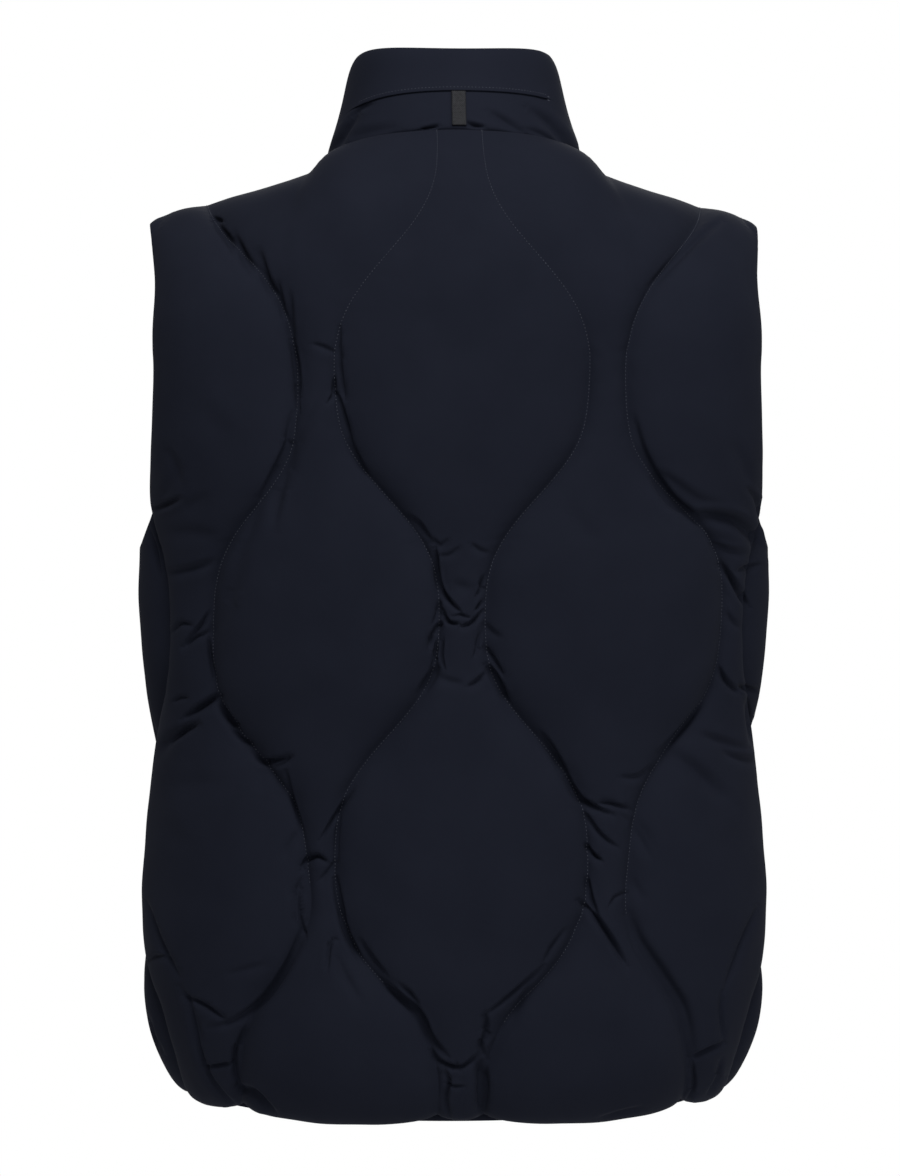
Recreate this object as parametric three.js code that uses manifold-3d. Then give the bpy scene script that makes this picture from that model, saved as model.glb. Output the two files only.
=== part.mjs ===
// A sleeveless quilted vest with a standing collar, filled out as it is when it is worn and zipped up.
// Millimetres, +Z up, the wearer faces -Y and the wearer's left is +X. The origin is where the shoulders
// carry it: midway between the two points where the shoulder seams meet the collar, 11 mm above them.
//
// The back and the two fronts are padded panels, quilted in upright wavy rows that make onion-shaped
// cells. Each panel is worked out on a plain surface, the lining's, from a table of body sections below
// the shoulder blades and from a curve over the shoulder above them. Its outer face is the same surface
// moved out by the padding, which is thin along each row of stitches and each seam.
import * as THREE from "three";
import Module from "manifold-3d";

// Body sections at the lining, from the hem up. The hem turns in and ends inside the garment.
// "square" is the section's exponent: 2 is an ellipse, and more is boxier. "rows" is how many rows of
// the drawn grid lead up to the next section, and "crowd" draws them closer to this one.
const SECTIONS = [
  { name: "hem edge", z: -606, halfWidth: 163, back: 94, front: 105, square: 2.2, rows: 2, crowd: 1 },
  { name: "hem fold", z: -619, halfWidth: 173, back: 104, front: 115, square: 2.2, rows: 2, crowd: 1 },
  { name: "hem turn", z: -598, halfWidth: 186, back: 114, front: 126, square: 2.2, rows: 2, crowd: 1 },
  { name: "low hip", z: -556, halfWidth: 197, back: 119, front: 133, square: 2.2, rows: 3, crowd: 1 },
  { name: "hip", z: -500, halfWidth: 197, back: 120, front: 136, square: 2.2, rows: 5, crowd: 1 },
  { name: "waist", z: -405, halfWidth: 191, back: 119, front: 137, square: 2.2, rows: 5, crowd: 1 },
  { name: "ribs", z: -325, halfWidth: 196, back: 122, front: 138, square: 2.3, rows: 3, crowd: 1 },
  { name: "underarm", z: -256, halfWidth: 198, back: 126, front: 137, square: 2.5, rows: 5, crowd: 1.6 },
  { name: "bust", z: -190, halfWidth: 197, back: 127, front: 134, square: 2.8, rows: 3, crowd: 1 },
  { name: "shoulder blades", z: -130, halfWidth: 196, back: 124, front: 126, square: 3.0 },
];
const SIDE_HEM_RISE = 6; // the hem is this much higher at the side seams than at the centre back
const HEM_RISE_FADES_AT = -420;

// The armhole, between the two panels above the underarm.
const ARMHOLE_BOTTOM = -256;
const ARMHOLE_WIDEST = -130;
const ARMHOLE_HALF_DEPTH = 57;
const SHOULDER_TIP = new THREE.Vector3(199, 0, -46);
const SHOULDER_DIP = 6; // how far the shoulder seam sags below a straight line, near the neck

// The collar's two rings: the seam that joins it to the panels, and its top edge. Each has its half
// width, and its depth and height at the back, the sides and the front.
const NECK_SEAM = { halfWidth: 83, y: [82, 4, -82], z: [8, -11, -50] };
const COLLAR_TOP = { halfWidth: 64, y: [59, -2, -66], z: [64, 63, 34] };

// Quilting: rows of stitches that swing to and fro, each the mirror image of the next.
const ROW_SPACING = 95;
const ROW_SWING = 33;
const HALF_WAVE = 153.5; // from a wide place of a cell to the next narrow one
const WIDE_HEIGHT = -21; // height of the upper wide place, from the shoulder-blade section
const WAVE_FLATTENING = 0.08;
const ROWS_A_SIDE = 3;

// Padding.
const LINING = 1.5; // from the working surface in to the lining's face
const STITCHED = 2; // from the working surface out to the cloth, on a row of stitches
const LOFT = 15; // what the padding adds in the middle of a wide cell
const LOFT_REACH = 18; // how far from a row of stitches the padding takes to fill out
const SEAM_LOFT = 0.25; // share of the loft left on the shoulder, side and neck seams
const SEAM_REACH = { side: 14, neck: 30, tip: 16 };
const EDGE_REACH = 9; // the same reach at the armholes and front edges, which are thin
const HEM_REACH = 18;

const SEAM_GAP = 0.3;
const NECK_GAP = 0.45;
const FRONT_EDGE = 6; // from the centre front to the edge of each front panel

// The collar's padding, and the tuck sewn across its back.
const COLLAR_LOFT = 5;
const COLLAR_EDGE = 2.2;
const COLLAR_REACH = 9;
const COLLAR_FLARE = 3; // how much the collar bows in between its seam and its top edge
const TUCK = { height: 0.44, depth: 3.5, reach: 0.1, halfTurn: 62 };

// The largest creases on the outer face. "across" is from the centre back or front towards the
// wearer's left, and "up" is from the shoulder-blade section. "turn" is the crease's angle from level.
const CREASES = [
  { panel: "back", across: 6, up: -170, length: 26, turn: -42, depth: 3.4, width: 5 },
  { panel: "back", across: -8, up: -181, length: 18, turn: 28, depth: 3.0, width: 4 },
  { panel: "back", across: 0, up: -142, length: 22, turn: 6, depth: 2.4, width: 6 },
  { panel: "back", across: 0, up: -205, length: 20, turn: 40, depth: 2.0, width: 5 },
  { panel: "back", across: 95, up: -342, length: 24, turn: -12, depth: 3.4, width: 5 },
  { panel: "back", across: 96, up: -372, length: 22, turn: -70, depth: 2.6, width: 5 },
  { panel: "back", across: -92, up: -300, length: 30, turn: -35, depth: 3.4, width: 5 },
  { panel: "back", across: -97, up: -358, length: 32, turn: -52, depth: 3.4, width: 5 },
  { panel: "back", across: 205, up: -196, length: 40, turn: -15, depth: 3.2, width: 7 },
  { panel: "back", across: -196, up: -152, length: 46, turn: -20, depth: 3.4, width: 7 },
  { panel: "back", across: -190, up: -176, length: 34, turn: -55, depth: 3.2, width: 6 },
  { panel: "back", across: -200, up: -265, length: 44, turn: -12, depth: 2.6, width: 8 },
  { panel: "back", across: 175, up: -236, length: 44, turn: 24, depth: 2.8, width: 7 },
  { panel: "front", across: 95, up: -340, length: 24, turn: 14, depth: 3.2, width: 5 },
  { panel: "front", across: -95, up: -352, length: 26, turn: 30, depth: 3.2, width: 5 },
  { panel: "front", across: 190, up: -170, length: 44, turn: 18, depth: 3.0, width: 7 },
  { panel: "front", across: -194, up: -186, length: 40, turn: -16, depth: 3.0, width: 7 },
];

// How finely each panel is drawn. The lining's face has half as many rows.
const ROWS_ABOVE = 8; // from the shoulder blades over to the shoulder seam and the neck
const SAMPLES = 60; // across half a panel, of which the first 32 reach the neck point at the top
const NECK_SAMPLES = 32;
const COLUMNS = { centre: 8, frontEdge: 4, inner: 8, outer: 6, side: 4 };

// The band inside the hem, upright, and how far it is inside the panels' edge.
const HEM_BAND = { above: 2, below: 24, inner: 4.3, outer: 2.3, frontStop: 17 };

// The zip: its closed row of teeth, and the two tapes behind the panels' front edges.
const ZIP = { teethHalf: 2.5, teethThickness: 2.4, behind: 2.6, topMargin: 3, foldRow: 2, aboveFold: 0.4 };
const TAPE = { middle: 9.4, half: 5.6, behind: 2.3, thickness: 0.8 };
const ZIP_BOX = { width: 5.6, thickness: 3.4, height: 8 };
const SLIDER_BELOW_TOP = 14; // from the collar's top edge down to the slider's middle
const HANGER_LOOP = { width: 9.5, thickness: 1.2, standsOff: 0.9, end: 0.04 };

const navyCloth = () => new THREE.MeshStandardMaterial({ color: 0x1a1d2a, roughness: 0.82, metalness: 0 });
const blackTape = () => new THREE.MeshStandardMaterial({ color: 0x14161d, roughness: 0.9, metalness: 0 });
const darkMetal = () => new THREE.MeshStandardMaterial({ color: 0x202228, roughness: 0.38, metalness: 0.8 });

const lerp = (a, b, t) => a + (b - a) * t;
const clamp = (x, low, high) => Math.min(high, Math.max(low, x));
const fills = (distance, reach) => 1 - Math.exp(-Math.max(0, distance) / reach);
const radians = THREE.MathUtils.degToRad;

// A smooth curve through four values, between the second and the third.
function smoothThrough(p, t) {
  const [a, b, c, d] = p;
  return 0.5 * (2 * b + (c - a) * t + (2 * a - 5 * b + 4 * c - d) * t * t + (3 * b - a - 3 * c + d) * t ** 3);
}

// How far up the side each section is, along the cloth, and the section at any such place.
const climb = SECTIONS.reduce((list, s, i) => {
  const before = SECTIONS[Math.max(0, i - 1)];
  return [...list, (list[i - 1] ?? 0) + Math.hypot(s.z - before.z, s.halfWidth - before.halfWidth)];
}, []);

// The places of the grid's rows, from the hem edge to the shoulder blades.
const rowPlaces = SECTIONS.flatMap(({ rows, crowd }, i) =>
  rows ? Array.from({ length: rows }, (_, k) => lerp(climb[i], climb[i + 1], (k / rows) ** crowd)) : climb[i]);
const ROWS_BELOW = rowPlaces.length - 1;

function sectionAt(place) {
  let i = 0;
  while (i < SECTIONS.length - 2 && climb[i + 1] < place) i++;
  const t = clamp((place - climb[i]) / (climb[i + 1] - climb[i]), 0, 1);
  const around = [i - 1, i, i + 1, i + 2].map((k) => SECTIONS[clamp(k, 0, SECTIONS.length - 1)]);
  const at = (key) => smoothThrough(around.map((s) => s[key]), t);
  return { z: at("z"), halfWidth: at("halfWidth"), back: at("back"), front: at("front"), square: at("square") };
}

// A ring of the collar at an angle from the centre back, in radians.
function ringPoint(ring, angle) {
  const c = Math.cos(angle);
  const through = ([back, side, front]) => side + ((back - front) / 2) * c + ((back + front) / 2 - side) * c * c;
  return new THREE.Vector3(ring.halfWidth * Math.sin(angle), through(ring.y), through(ring.z));
}

// The direction across the cloth at the neck seam, shared by the collar and the panels.
function neckDirection(angle) {
  return new THREE.Vector3(Math.sin(angle) * 0.8, Math.cos(angle) * 0.8, 0.6).normalize();
}

const shoulderPoint = ringPoint(NECK_SEAM, Math.PI / 2);
const shoulderAlong = SHOULDER_TIP.clone().sub(shoulderPoint);
const shoulderUp = new THREE.Vector3(-shoulderAlong.z, 0, shoulderAlong.x).normalize();

// One row of a half panel below the shoulder blades, sampled evenly along the cloth from the centre out.
function bodyRow(side, place) {
  const s = sectionAt(place);
  const depth = s[side];
  const sign = side === "back" ? 1 : -1;
  const open = clamp((ARMHOLE_WIDEST - s.z) / (ARMHOLE_WIDEST - ARMHOLE_BOTTOM), 0, 1);
  const gap = s.z > ARMHOLE_BOTTOM ? ARMHOLE_HALF_DEPTH * Math.sqrt(1 - open * open) : 0;
  const lastAngle = Math.acos(clamp((gap / depth) ** (s.square / 2), 0, 1));
  const rise = SIDE_HEM_RISE * clamp((HEM_RISE_FADES_AT - s.z) / (HEM_RISE_FADES_AT + 600), 0, 1);
  const pointAt = (angle) => {
    const x = s.halfWidth * Math.sin(angle) ** (2 / s.square);
    const y = sign * depth * Math.max(0, Math.cos(angle)) ** (2 / s.square);
    return new THREE.Vector3(x, y, s.z + rise * (x / s.halfWidth) ** 2);
  };
  return evenly(pointAt, lastAngle);
}

// Points spaced evenly along a curve that is given by an angle from 0 to last.
function evenly(pointAt, last) {
  const fine = 240;
  const points = Array.from({ length: fine + 1 }, (_, i) => pointAt((i / fine) * last));
  const along = points.reduce((list, p, i) => [...list, i ? list[i - 1] + p.distanceTo(points[i - 1]) : 0], []);
  const length = along[fine];
  let k = 0;
  return Array.from({ length: SAMPLES + 1 }, (_, i) => {
    const want = (i / SAMPLES) * length;
    while (k < fine - 1 && along[k + 1] < want) k++;
    return points[k].clone().lerp(points[k + 1], clamp((want - along[k]) / (along[k + 1] - along[k]), 0, 1));
  });
}

// The angle round the neck of a sample of a panel's upper edge.
function neckAngle(side, sample) {
  return lerp(side === "back" ? 0 : Math.PI, Math.PI / 2, clamp(sample / NECK_SAMPLES, 0, 1));
}

// The panel's upper edge: half the neckline and then the shoulder seam, a straight line.
function topEdge(side) {
  return Array.from({ length: SAMPLES + 1 }, (_, i) => {
    const angle = neckAngle(side, i);
    const out = clamp((i - NECK_SAMPLES) / (SAMPLES - NECK_SAMPLES), 0, 1);
    const point = out ? shoulderPoint.clone().addScaledVector(shoulderAlong, out) : ringPoint(NECK_SEAM, angle);
    point.z -= SHOULDER_DIP * 6.75 * out * (1 - out) ** 2;
    const ease = clamp(out / 0.25, 0, 1);
    const across = neckDirection(angle).lerp(shoulderUp, ease * ease * (3 - 2 * ease)).normalize();
    const level = new THREE.Vector3(0, side === "back" ? -1 : 1, 0);
    const upNeck = new THREE.Vector3(0, side === "back" ? -0.66 : 0.58, 0.8);
    const arrives = level.lerp(upNeck, Math.cos(angle) ** 2).normalize();
    return { point, across, arrives };
  });
}

// The working surface of a half panel: rows of samples with their place, the distance across from the
// centre (for the quilting), the distance up from the shoulder blades, and the outward direction.
function halfPanel(side) {
  const rows = rowPlaces.map((place) => bodyRow(side, place));
  const start = rows[ROWS_BELOW];
  const top = topEdge(side);
  for (let j = 1; j <= ROWS_ABOVE; j++) {
    const t = j / ROWS_ABOVE;
    rows.push(start.map((from, i) => {
      const pull = from.distanceTo(top[i].point) * 1.15;
      const [h0, h1] = [2 * t ** 3 - 3 * t * t + 1, 3 * t * t - 2 * t ** 3];
      const [m0, m1] = [(t ** 3 - 2 * t * t + t) * pull, (t ** 3 - t * t) * pull];
      return from.clone().multiplyScalar(h0).addScaledVector(top[i].point, h1)
        .addScaledVector(new THREE.Vector3(0, 0, 1), m0).addScaledVector(top[i].arrives, m1);
    }));
  }
  const grid = rows.map((row) => row.map((point) => ({ point })));
  for (let i = 0; i <= SAMPLES; i++) {
    rowPlaces.forEach((place, j) => (grid[j][i].up = place - climb.at(-1)));
    for (let j = ROWS_BELOW + 1; j < grid.length; j++) {
      grid[j][i].up = grid[j - 1][i].up + grid[j][i].point.distanceTo(grid[j - 1][i].point);
    }
  }
  const bladesWidth = start.reduce((sum, p, i) => sum + (i ? p.distanceTo(start[i - 1]) : 0), 0);
  grid.forEach((row, j) => {
    const over = clamp((j - ROWS_BELOW) / ROWS_ABOVE, 0, 1);
    let along = 0;
    row.forEach((cell, i) => {
      if (i) along += cell.point.distanceTo(row[i - 1].point);
      const level = lerp((i / SAMPLES) * bladesWidth, cell.point.x * 1.08, over);
      cell.across = over ? level : along;
      const [left, right] = [row[Math.max(0, i - 1)], row[Math.min(SAMPLES, i + 1)]];
      const [below, above] = [grid[Math.max(0, j - 1)][i], grid[Math.min(grid.length - 1, j + 1)][i]];
      const outward = right.point.clone().sub(left.point).cross(above.point.clone().sub(below.point));
      cell.outward = outward.normalize().multiplyScalar(side === "back" ? -1 : 1);
      if (i === 0) cell.outward.setX(0).normalize();
      if (i === SAMPLES && cell.point.z < ARMHOLE_BOTTOM) cell.outward.setY(0).normalize();
    });
  });
  const last = grid.length - 1;
  [[last, 1], [last - 1, 0.5]].forEach(([j, share]) => {
    grid[j].forEach((cell, i) => cell.outward.lerp(top[i].across, share).normalize());
  });
  return grid;
}

// Where a row of stitches runs, at a height above the shoulder blades, and how steeply it crosses there.
function stitchRow(number, up) {
  const phase = (Math.PI * (up - WIDE_HEIGHT)) / HALF_WAVE;
  const wave = (Math.cos(phase) - WAVE_FLATTENING * Math.cos(3 * phase)) / (1 - WAVE_FLATTENING);
  const swing = number % 2 === 1 ? ROW_SWING : -ROW_SWING;
  return ROW_SPACING * (number - 0.5) + swing * wave;
}

function stitchSlope(up) {
  return (stitchRow(1, up + 1) - stitchRow(1, up - 1)) / 2;
}

// Padding at a place on a panel, from the nearest rows of stitches, seams and edges.
function paddingAt(panel, cell, edges) {
  const lean = 1 / Math.hypot(1, stitchSlope(cell.up));
  const across = Math.abs(cell.across);
  let share = 1;
  for (let n = 1; n <= ROWS_A_SIDE; n++) {
    share *= fills(Math.abs(across - stitchRow(n, cell.up)) * lean, LOFT_REACH);
    if (n === 1 && panel === "back") share *= fills((across + stitchRow(n, cell.up)) * lean, LOFT_REACH);
  }
  share *= edges.sideIsSeam
    ? lerp(SEAM_LOFT, 1, fills(edges.toSide, SEAM_REACH.side))
    : fills(edges.toSide, EDGE_REACH);
  const overShoulder = clamp((cell.sample - NECK_SAMPLES) / (SAMPLES - NECK_SAMPLES), 0, 1);
  const topReach = lerp(SEAM_REACH.neck, SEAM_REACH.tip, overShoulder);
  share *= lerp(SEAM_LOFT, 1, fills(edges.toTop, topReach)) * fills(edges.toHem, HEM_REACH);
  if (panel === "front") share *= fills(across - FRONT_EDGE, EDGE_REACH);
  const creased = CREASES.filter((c) => c.panel === panel).reduce((sum, c) => {
    const [dx, dy] = [cell.across - c.across, cell.up - c.up];
    const [cos, sin] = [Math.cos(radians(c.turn)), Math.sin(radians(c.turn))];
    const [along, off] = [dx * cos + dy * sin, dy * cos - dx * sin];
    return sum + c.depth * Math.exp(-((off / c.width) ** 2) - (along / (c.length * 0.6)) ** 4);
  }, 0);
  return Math.max(STITCHED, STITCHED + LOFT * share - creased);
}

// A place on a row, by a sample number that needn't be whole.
function placeAt(row, sample) {
  const i = Math.min(SAMPLES - 1, Math.floor(sample));
  const [a, b, t] = [row[i], row[i + 1], sample - i];
  return {
    sample,
    point: a.point.clone().lerp(b.point, t),
    outward: a.outward.clone().lerp(b.outward, t).normalize(),
    across: lerp(a.across, b.across, t),
    up: lerp(a.up, b.up, t),
  };
}

// The sample number where a measure of the row's cells passes nought.
function sampleWhere(row, measure) {
  let i = 0;
  while (i < SAMPLES - 1 && measure(row[i + 1]) < 0) i++;
  const [before, after] = [measure(row[i]), measure(row[i + 1])];
  return i + clamp(before / (before - after), 0, 1);
}

// The columns of one row of a panel, as sample numbers. They follow the rows of stitches and crowd
// towards them, and one column ends at the neck point. Less than nought is on the right half.
function columnsOf(row, panel, over) {
  const [one, two, three] = [1, 2, 3].map((n) =>
    Math.min(sampleWhere(row, (cell) => cell.across - stitchRow(n, cell.up)), SAMPLES - 2.6 * (4 - n)));
  const crowded = (a, b, count, middle = (a + b) / 2) =>
    Array.from({ length: count }, (_, k) => {
      const t = 1 - Math.cos((Math.PI * k) / count);
      return t < 1 ? lerp(a, middle, t) : lerp(middle, b, t - 1);
    });
  const outer = [
    ...crowded(one, two, COLUMNS.inner, lerp((one + two) / 2, NECK_SAMPLES, over)),
    ...crowded(two, three, COLUMNS.outer),
    ...crowded(three, SAMPLES, COLUMNS.side),
    SAMPLES,
  ];
  if (panel === "back") {
    const mirrored = outer.slice(1).reverse().map((x) => -x);
    return [...mirrored, ...crowded(-one, one, COLUMNS.centre), ...outer];
  }
  const edge = sampleWhere(row, (cell) => cell.point.x - FRONT_EDGE);
  return [...crowded(edge, one, COLUMNS.frontEdge), ...outer];
}

// Every cell of a panel's grid, with its working point, outward direction and padding.
function panelCells(panel, mirror) {
  const grid = halfPanel(panel);
  const last = grid.length - 1;
  const apart = (panel === "back" ? 1 : -1) * (SEAM_GAP / 2);
  return grid.map((row, j) =>
    columnsOf(row, panel, clamp((j - ROWS_BELOW) / ROWS_ABOVE, 0, 1)).map((signed) => {
      const cell = placeAt(row, Math.abs(signed));
      const near = Math.round(cell.sample);
      const edges = {
        sideIsSeam: row[SAMPLES].point.z <= ARMHOLE_BOTTOM,
        toSide: row[SAMPLES].across - cell.across,
        toTop: grid[last][near].up - row[near].up,
        toHem: row[near].up - grid[0][near].up,
      };
      if (j === last || (edges.sideIsSeam && edges.toSide < 1)) cell.point.y += apart;
      if (signed < 0 !== mirror) {
        [cell.point, cell.outward].forEach((v) => v.setX(-v.x));
        cell.across = -cell.across;
      }
      return { ...cell, padding: paddingAt(panel, cell, edges) };
    }),
  );
}

// A closed wall between an outer grid of points and an inner one with half as many rows.
function wallBetween(outer, inner) {
  const [rows, columns] = [outer.length - 1, outer[0].length - 1];
  const points = [...outer.flat(), ...inner.flat()];
  const out = (j, k) => j * (columns + 1) + k;
  const into = (j, k) => outer.flat().length + (j / 2) * (columns + 1) + k;
  const faces = [];
  const quad = (a, b, c, d) => faces.push(a, b, c, a, c, d);
  for (let k = 0; k < columns; k++) {
    for (let j = 0; j < rows; j++) quad(out(j, k), out(j, k + 1), out(j + 1, k + 1), out(j + 1, k));
    for (let j = 0; j < rows; j += 2) quad(into(j, k), into(j + 2, k), into(j + 2, k + 1), into(j, k + 1));
    quad(out(0, k + 1), out(0, k), into(0, k), into(0, k + 1));
    quad(out(rows, k), out(rows, k + 1), into(rows, k + 1), into(rows, k));
  }
  // At the sides, two outer edges meet each inner one.
  const rim = (o0, o1, o2, i0, i2) => faces.push(o0, i0, o1, o1, i0, i2, o1, i2, o2);
  for (let j = 0; j < rows; j += 2) {
    rim(out(j + 2, 0), out(j + 1, 0), out(j, 0), into(j + 2, 0), into(j, 0));
    rim(out(j, columns), out(j + 1, columns), out(j + 2, columns), into(j, columns), into(j + 2, columns));
  }
  const geometry = new THREE.BufferGeometry();
  geometry.setAttribute("position", new THREE.Float32BufferAttribute(points.flatMap((p) => p.toArray()), 3));
  geometry.setIndex(faces);
  return outwardFacing(geometry);
}

// The same geometry with its faces turned round if they point inwards.
function outwardFacing(geometry) {
  const p = geometry.getAttribute("position");
  const index = geometry.getIndex().array;
  const corner = (i) => new THREE.Vector3().fromBufferAttribute(p, index[i]);
  let volume = 0;
  for (let i = 0; i < index.length; i += 3) volume += corner(i).dot(corner(i + 1).cross(corner(i + 2)));
  if (volume < 0) for (let i = 0; i < index.length; i += 3) [index[i], index[i + 1]] = [index[i + 1], index[i]];
  geometry.computeVertexNormals();
  return geometry;
}

const movedOut = (cell, by) => cell.point.clone().addScaledVector(cell.outward, by);
const everySecond = (list) => list.filter((_, i) => i % 2 === 0);

function wallOf(cells) {
  const outer = cells.map((row) => row.map((cell) => movedOut(cell, cell.padding)));
  const inner = everySecond(cells).map((row) => row.map((cell) => movedOut(cell, -LINING)));
  return wallBetween(outer, inner);
}

const panels = {
  back_panel: panelCells("back", false),
  front_panel_left: panelCells("front", false),
  front_panel_right: panelCells("front", true),
};

// The corners of the neck seam, which the panels and the collar share, as angles from the centre back
// to the front edge on the wearer's left.
const seamAngles = [["back", panels.back_panel], ["front", panels.front_panel_left]].flatMap(([side, cells]) => {
  const onNeck = cells.at(-1).filter((cell) => cell.across > -0.01 && cell.sample <= NECK_SAMPLES + 0.01);
  const angles = onNeck.map((cell) => neckAngle(side, cell.sample));
  return side === "back" ? angles : angles.reverse().slice(1);
});

// A place on the neck seam: straight between two of its corners.
function neckSeamAt(angle) {
  const turned = Math.abs(angle);
  const passed = seamAngles.filter((corner) => corner <= turned).length;
  const i = clamp(passed - 1, 0, seamAngles.length - 2);
  const [a, b] = [seamAngles[i], seamAngles[i + 1]];
  const t = clamp((turned - a) / (b - a), 0, 1);
  const point = ringPoint(NECK_SEAM, a).lerp(ringPoint(NECK_SEAM, b), t);
  const across = neckDirection(a).lerp(neckDirection(b), t);
  if (angle < 0) [point, across].forEach((v) => v.setX(-v.x));
  return { point, across };
}

// The collar, one padded strip from front edge to front edge.
const COLLAR_ROWS = 10;
const COLLAR_COLUMN_TURN = radians(8);

// A place on the collar, at an angle from the centre back, and a height of 0 at the neck seam to 1 at
// the top edge.
function collarPlace(angle, height) {
  const seam = neckSeamAt(angle);
  const [low, high] = [ringPoint(NECK_SEAM, angle), ringPoint(COLLAR_TOP, angle)];
  const round = new THREE.Vector3(Math.sin(angle), Math.cos(angle), 0);
  const outward = new THREE.Vector3(-round.y, round.x, 0).cross(high.clone().sub(low)).normalize();
  const point = low.clone().lerp(high, height).addScaledVector(round, -COLLAR_FLARE * Math.sin(Math.PI * height));
  const nearSeam = Math.max(0, 1 - height * 4);
  point.lerp(seam.point, nearSeam);
  outward.lerp(seam.across, nearSeam);
  const halfWidth = lerp(NECK_SEAM.halfWidth, COLLAR_TOP.halfWidth, height);
  const fromFront = (seamAngles.at(-1) - Math.abs(angle)) * halfWidth;
  const toEnds = Math.min(height, 1 - height) * low.distanceTo(high);
  const share = fills(fromFront, EDGE_REACH) * fills(toEnds, COLLAR_REACH);
  const onTuck = 1 - clamp((Math.abs(THREE.MathUtils.radToDeg(angle)) - TUCK.halfTurn) / 8, 0, 1);
  const tuck = TUCK.depth * onTuck * Math.exp(-(((height - TUCK.height) / TUCK.reach) ** 2));
  const seamed = LOFT * SEAM_LOFT * 0.5 * Math.max(0, 1 - height / 0.12);
  return { point, outward, padding: COLLAR_EDGE + COLLAR_LOFT * share - tuck * share + seamed };
}

function collarGeometry() {
  const half = seamAngles.flatMap((angle, i) => {
    const next = seamAngles[i + 1];
    const count = next === undefined ? 1 : Math.max(1, Math.round((next - angle) / COLLAR_COLUMN_TURN));
    return Array.from({ length: count }, (_, k) => (k ? lerp(angle, next, k / count) : angle));
  });
  const angles = [...half.slice(1).reverse().map((angle) => -angle), ...half];
  return wallOf(Array.from({ length: COLLAR_ROWS + 1 }, (_, j) =>
    angles.map((angle) => {
      const cell = collarPlace(angle, j / COLLAR_ROWS);
      if (j === 0) cell.point.z += NECK_GAP;
      return cell;
    }),
  ));
}

// A strip of even thickness along a run of places, each with a point, an outward and a sideways direction.
// from and to are how far it reaches each way sideways, and low and high how far it stands out.
function stripGeometry(places, from, to, low, high) {
  const ring = places.map(({ point, outward, aside }) =>
    [[from, low], [to, low], [to, high], [from, high]].map(([x, h]) =>
      point.clone().addScaledVector(aside, x).addScaledVector(outward, h)));
  const faces = [];
  const at = (j, c) => j * 4 + (c % 4);
  for (let j = 0; j < ring.length - 1; j++) {
    for (let c = 0; c < 4; c++) {
      faces.push(at(j, c), at(j, c + 1), at(j + 1, c + 1));
      faces.push(at(j, c), at(j + 1, c + 1), at(j + 1, c));
    }
  }
  const end = ring.length - 1;
  faces.push(at(0, 0), at(0, 2), at(0, 1), at(0, 0), at(0, 3), at(0, 2));
  faces.push(at(end, 0), at(end, 1), at(end, 2), at(end, 0), at(end, 2), at(end, 3));
  const geometry = new THREE.BufferGeometry();
  geometry.setAttribute("position", new THREE.Float32BufferAttribute(ring.flat().flatMap((p) => p.toArray()), 3));
  geometry.setIndex(faces);
  return outwardFacing(geometry);
}

// A line of places up the front at a distance from the centre, from above the hem to the collar's top.
// It keeps to the rows of the lining's face, so that what lies behind the panels clears them.
function upTheFront(x) {
  const onPanel = everySecond(halfPanel("front").slice(ZIP.foldRow, -1)).map((row) => {
    const sample = sampleWhere(row, (cell) => cell.point.x - x);
    const { point, outward } = placeAt(row, sample);
    return { point, outward, aside: placeAt(row, sample + 1).point.sub(point) };
  });
  const [lowest, next] = onPanel;
  lowest.point.lerp(next.point, ZIP.aboveFold);
  lowest.outward.lerp(next.outward, ZIP.aboveFold);
  const onCollar = Array.from({ length: COLLAR_ROWS / 2 + 1 }, (_, j) => {
    const height = (2 * j) / COLLAR_ROWS;
    const angle = Math.PI - Math.asin(x / lerp(NECK_SEAM.halfWidth, COLLAR_TOP.halfWidth, height));
    const { point, outward } = collarPlace(angle, height);
    return { point, outward, aside: collarPlace(angle - 0.02, height).point.sub(point) };
  });
  return [...onPanel, ...onCollar].map(({ point, outward, aside }) => ({
    point,
    outward: outward.normalize(),
    aside: aside.setZ(0).normalize(),
  }));
}

// The middle of the closed zip, as distances along it.
const frontEdge = upTheFront(FRONT_EDGE).map(({ point }) => point.setX(0));
const zipLengths = frontEdge.reduce(
  (list, p, i) => [...list, i ? list[i - 1] + p.distanceTo(frontEdge[i - 1]) : 0], []);

function zipAt(distance) {
  const next = clamp(zipLengths.findIndex((length) => length > distance), 1, zipLengths.length - 1);
  const [a, b] = [frontEdge[next - 1], frontEdge[next]];
  const t = (distance - zipLengths[next - 1]) / (zipLengths[next] - zipLengths[next - 1]);
  const along = b.clone().sub(a).normalize();
  const outward = new THREE.Vector3(0, -along.z, along.y);
  const point = a.clone().lerp(b, t).addScaledVector(outward, -ZIP.behind);
  return { point, outward, along, aside: new THREE.Vector3(1, 0, 0) };
}

const sliderDistance = zipLengths.at(-1) - SLIDER_BELOW_TOP;

function zipTeethGeometry() {
  const first = ZIP_BOX.height + 0.3;
  const last = sliderDistance + SLIDER.height / 2 - SLIDER.postHeight - 0.4;
  const between = zipLengths.filter((length) => length > first + 2 && length < last - 2);
  const half = ZIP.teethThickness / 2;
  return stripGeometry([first, ...between, last].map(zipAt), -ZIP.teethHalf, ZIP.teethHalf, -half, half);
}

function zipTapeGeometry(mirror) {
  const places = upTheFront(TAPE.middle);
  const [last, below] = [places.at(-1).point, places.at(-2).point];
  last.lerp(below, ZIP.topMargin / last.distanceTo(below));
  if (mirror) places.forEach((place) => Object.values(place).forEach((v) => v.setX(-v.x)));
  return stripGeometry(places, -TAPE.half, TAPE.half, -TAPE.behind - TAPE.thickness, -TAPE.behind);
}

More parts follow.
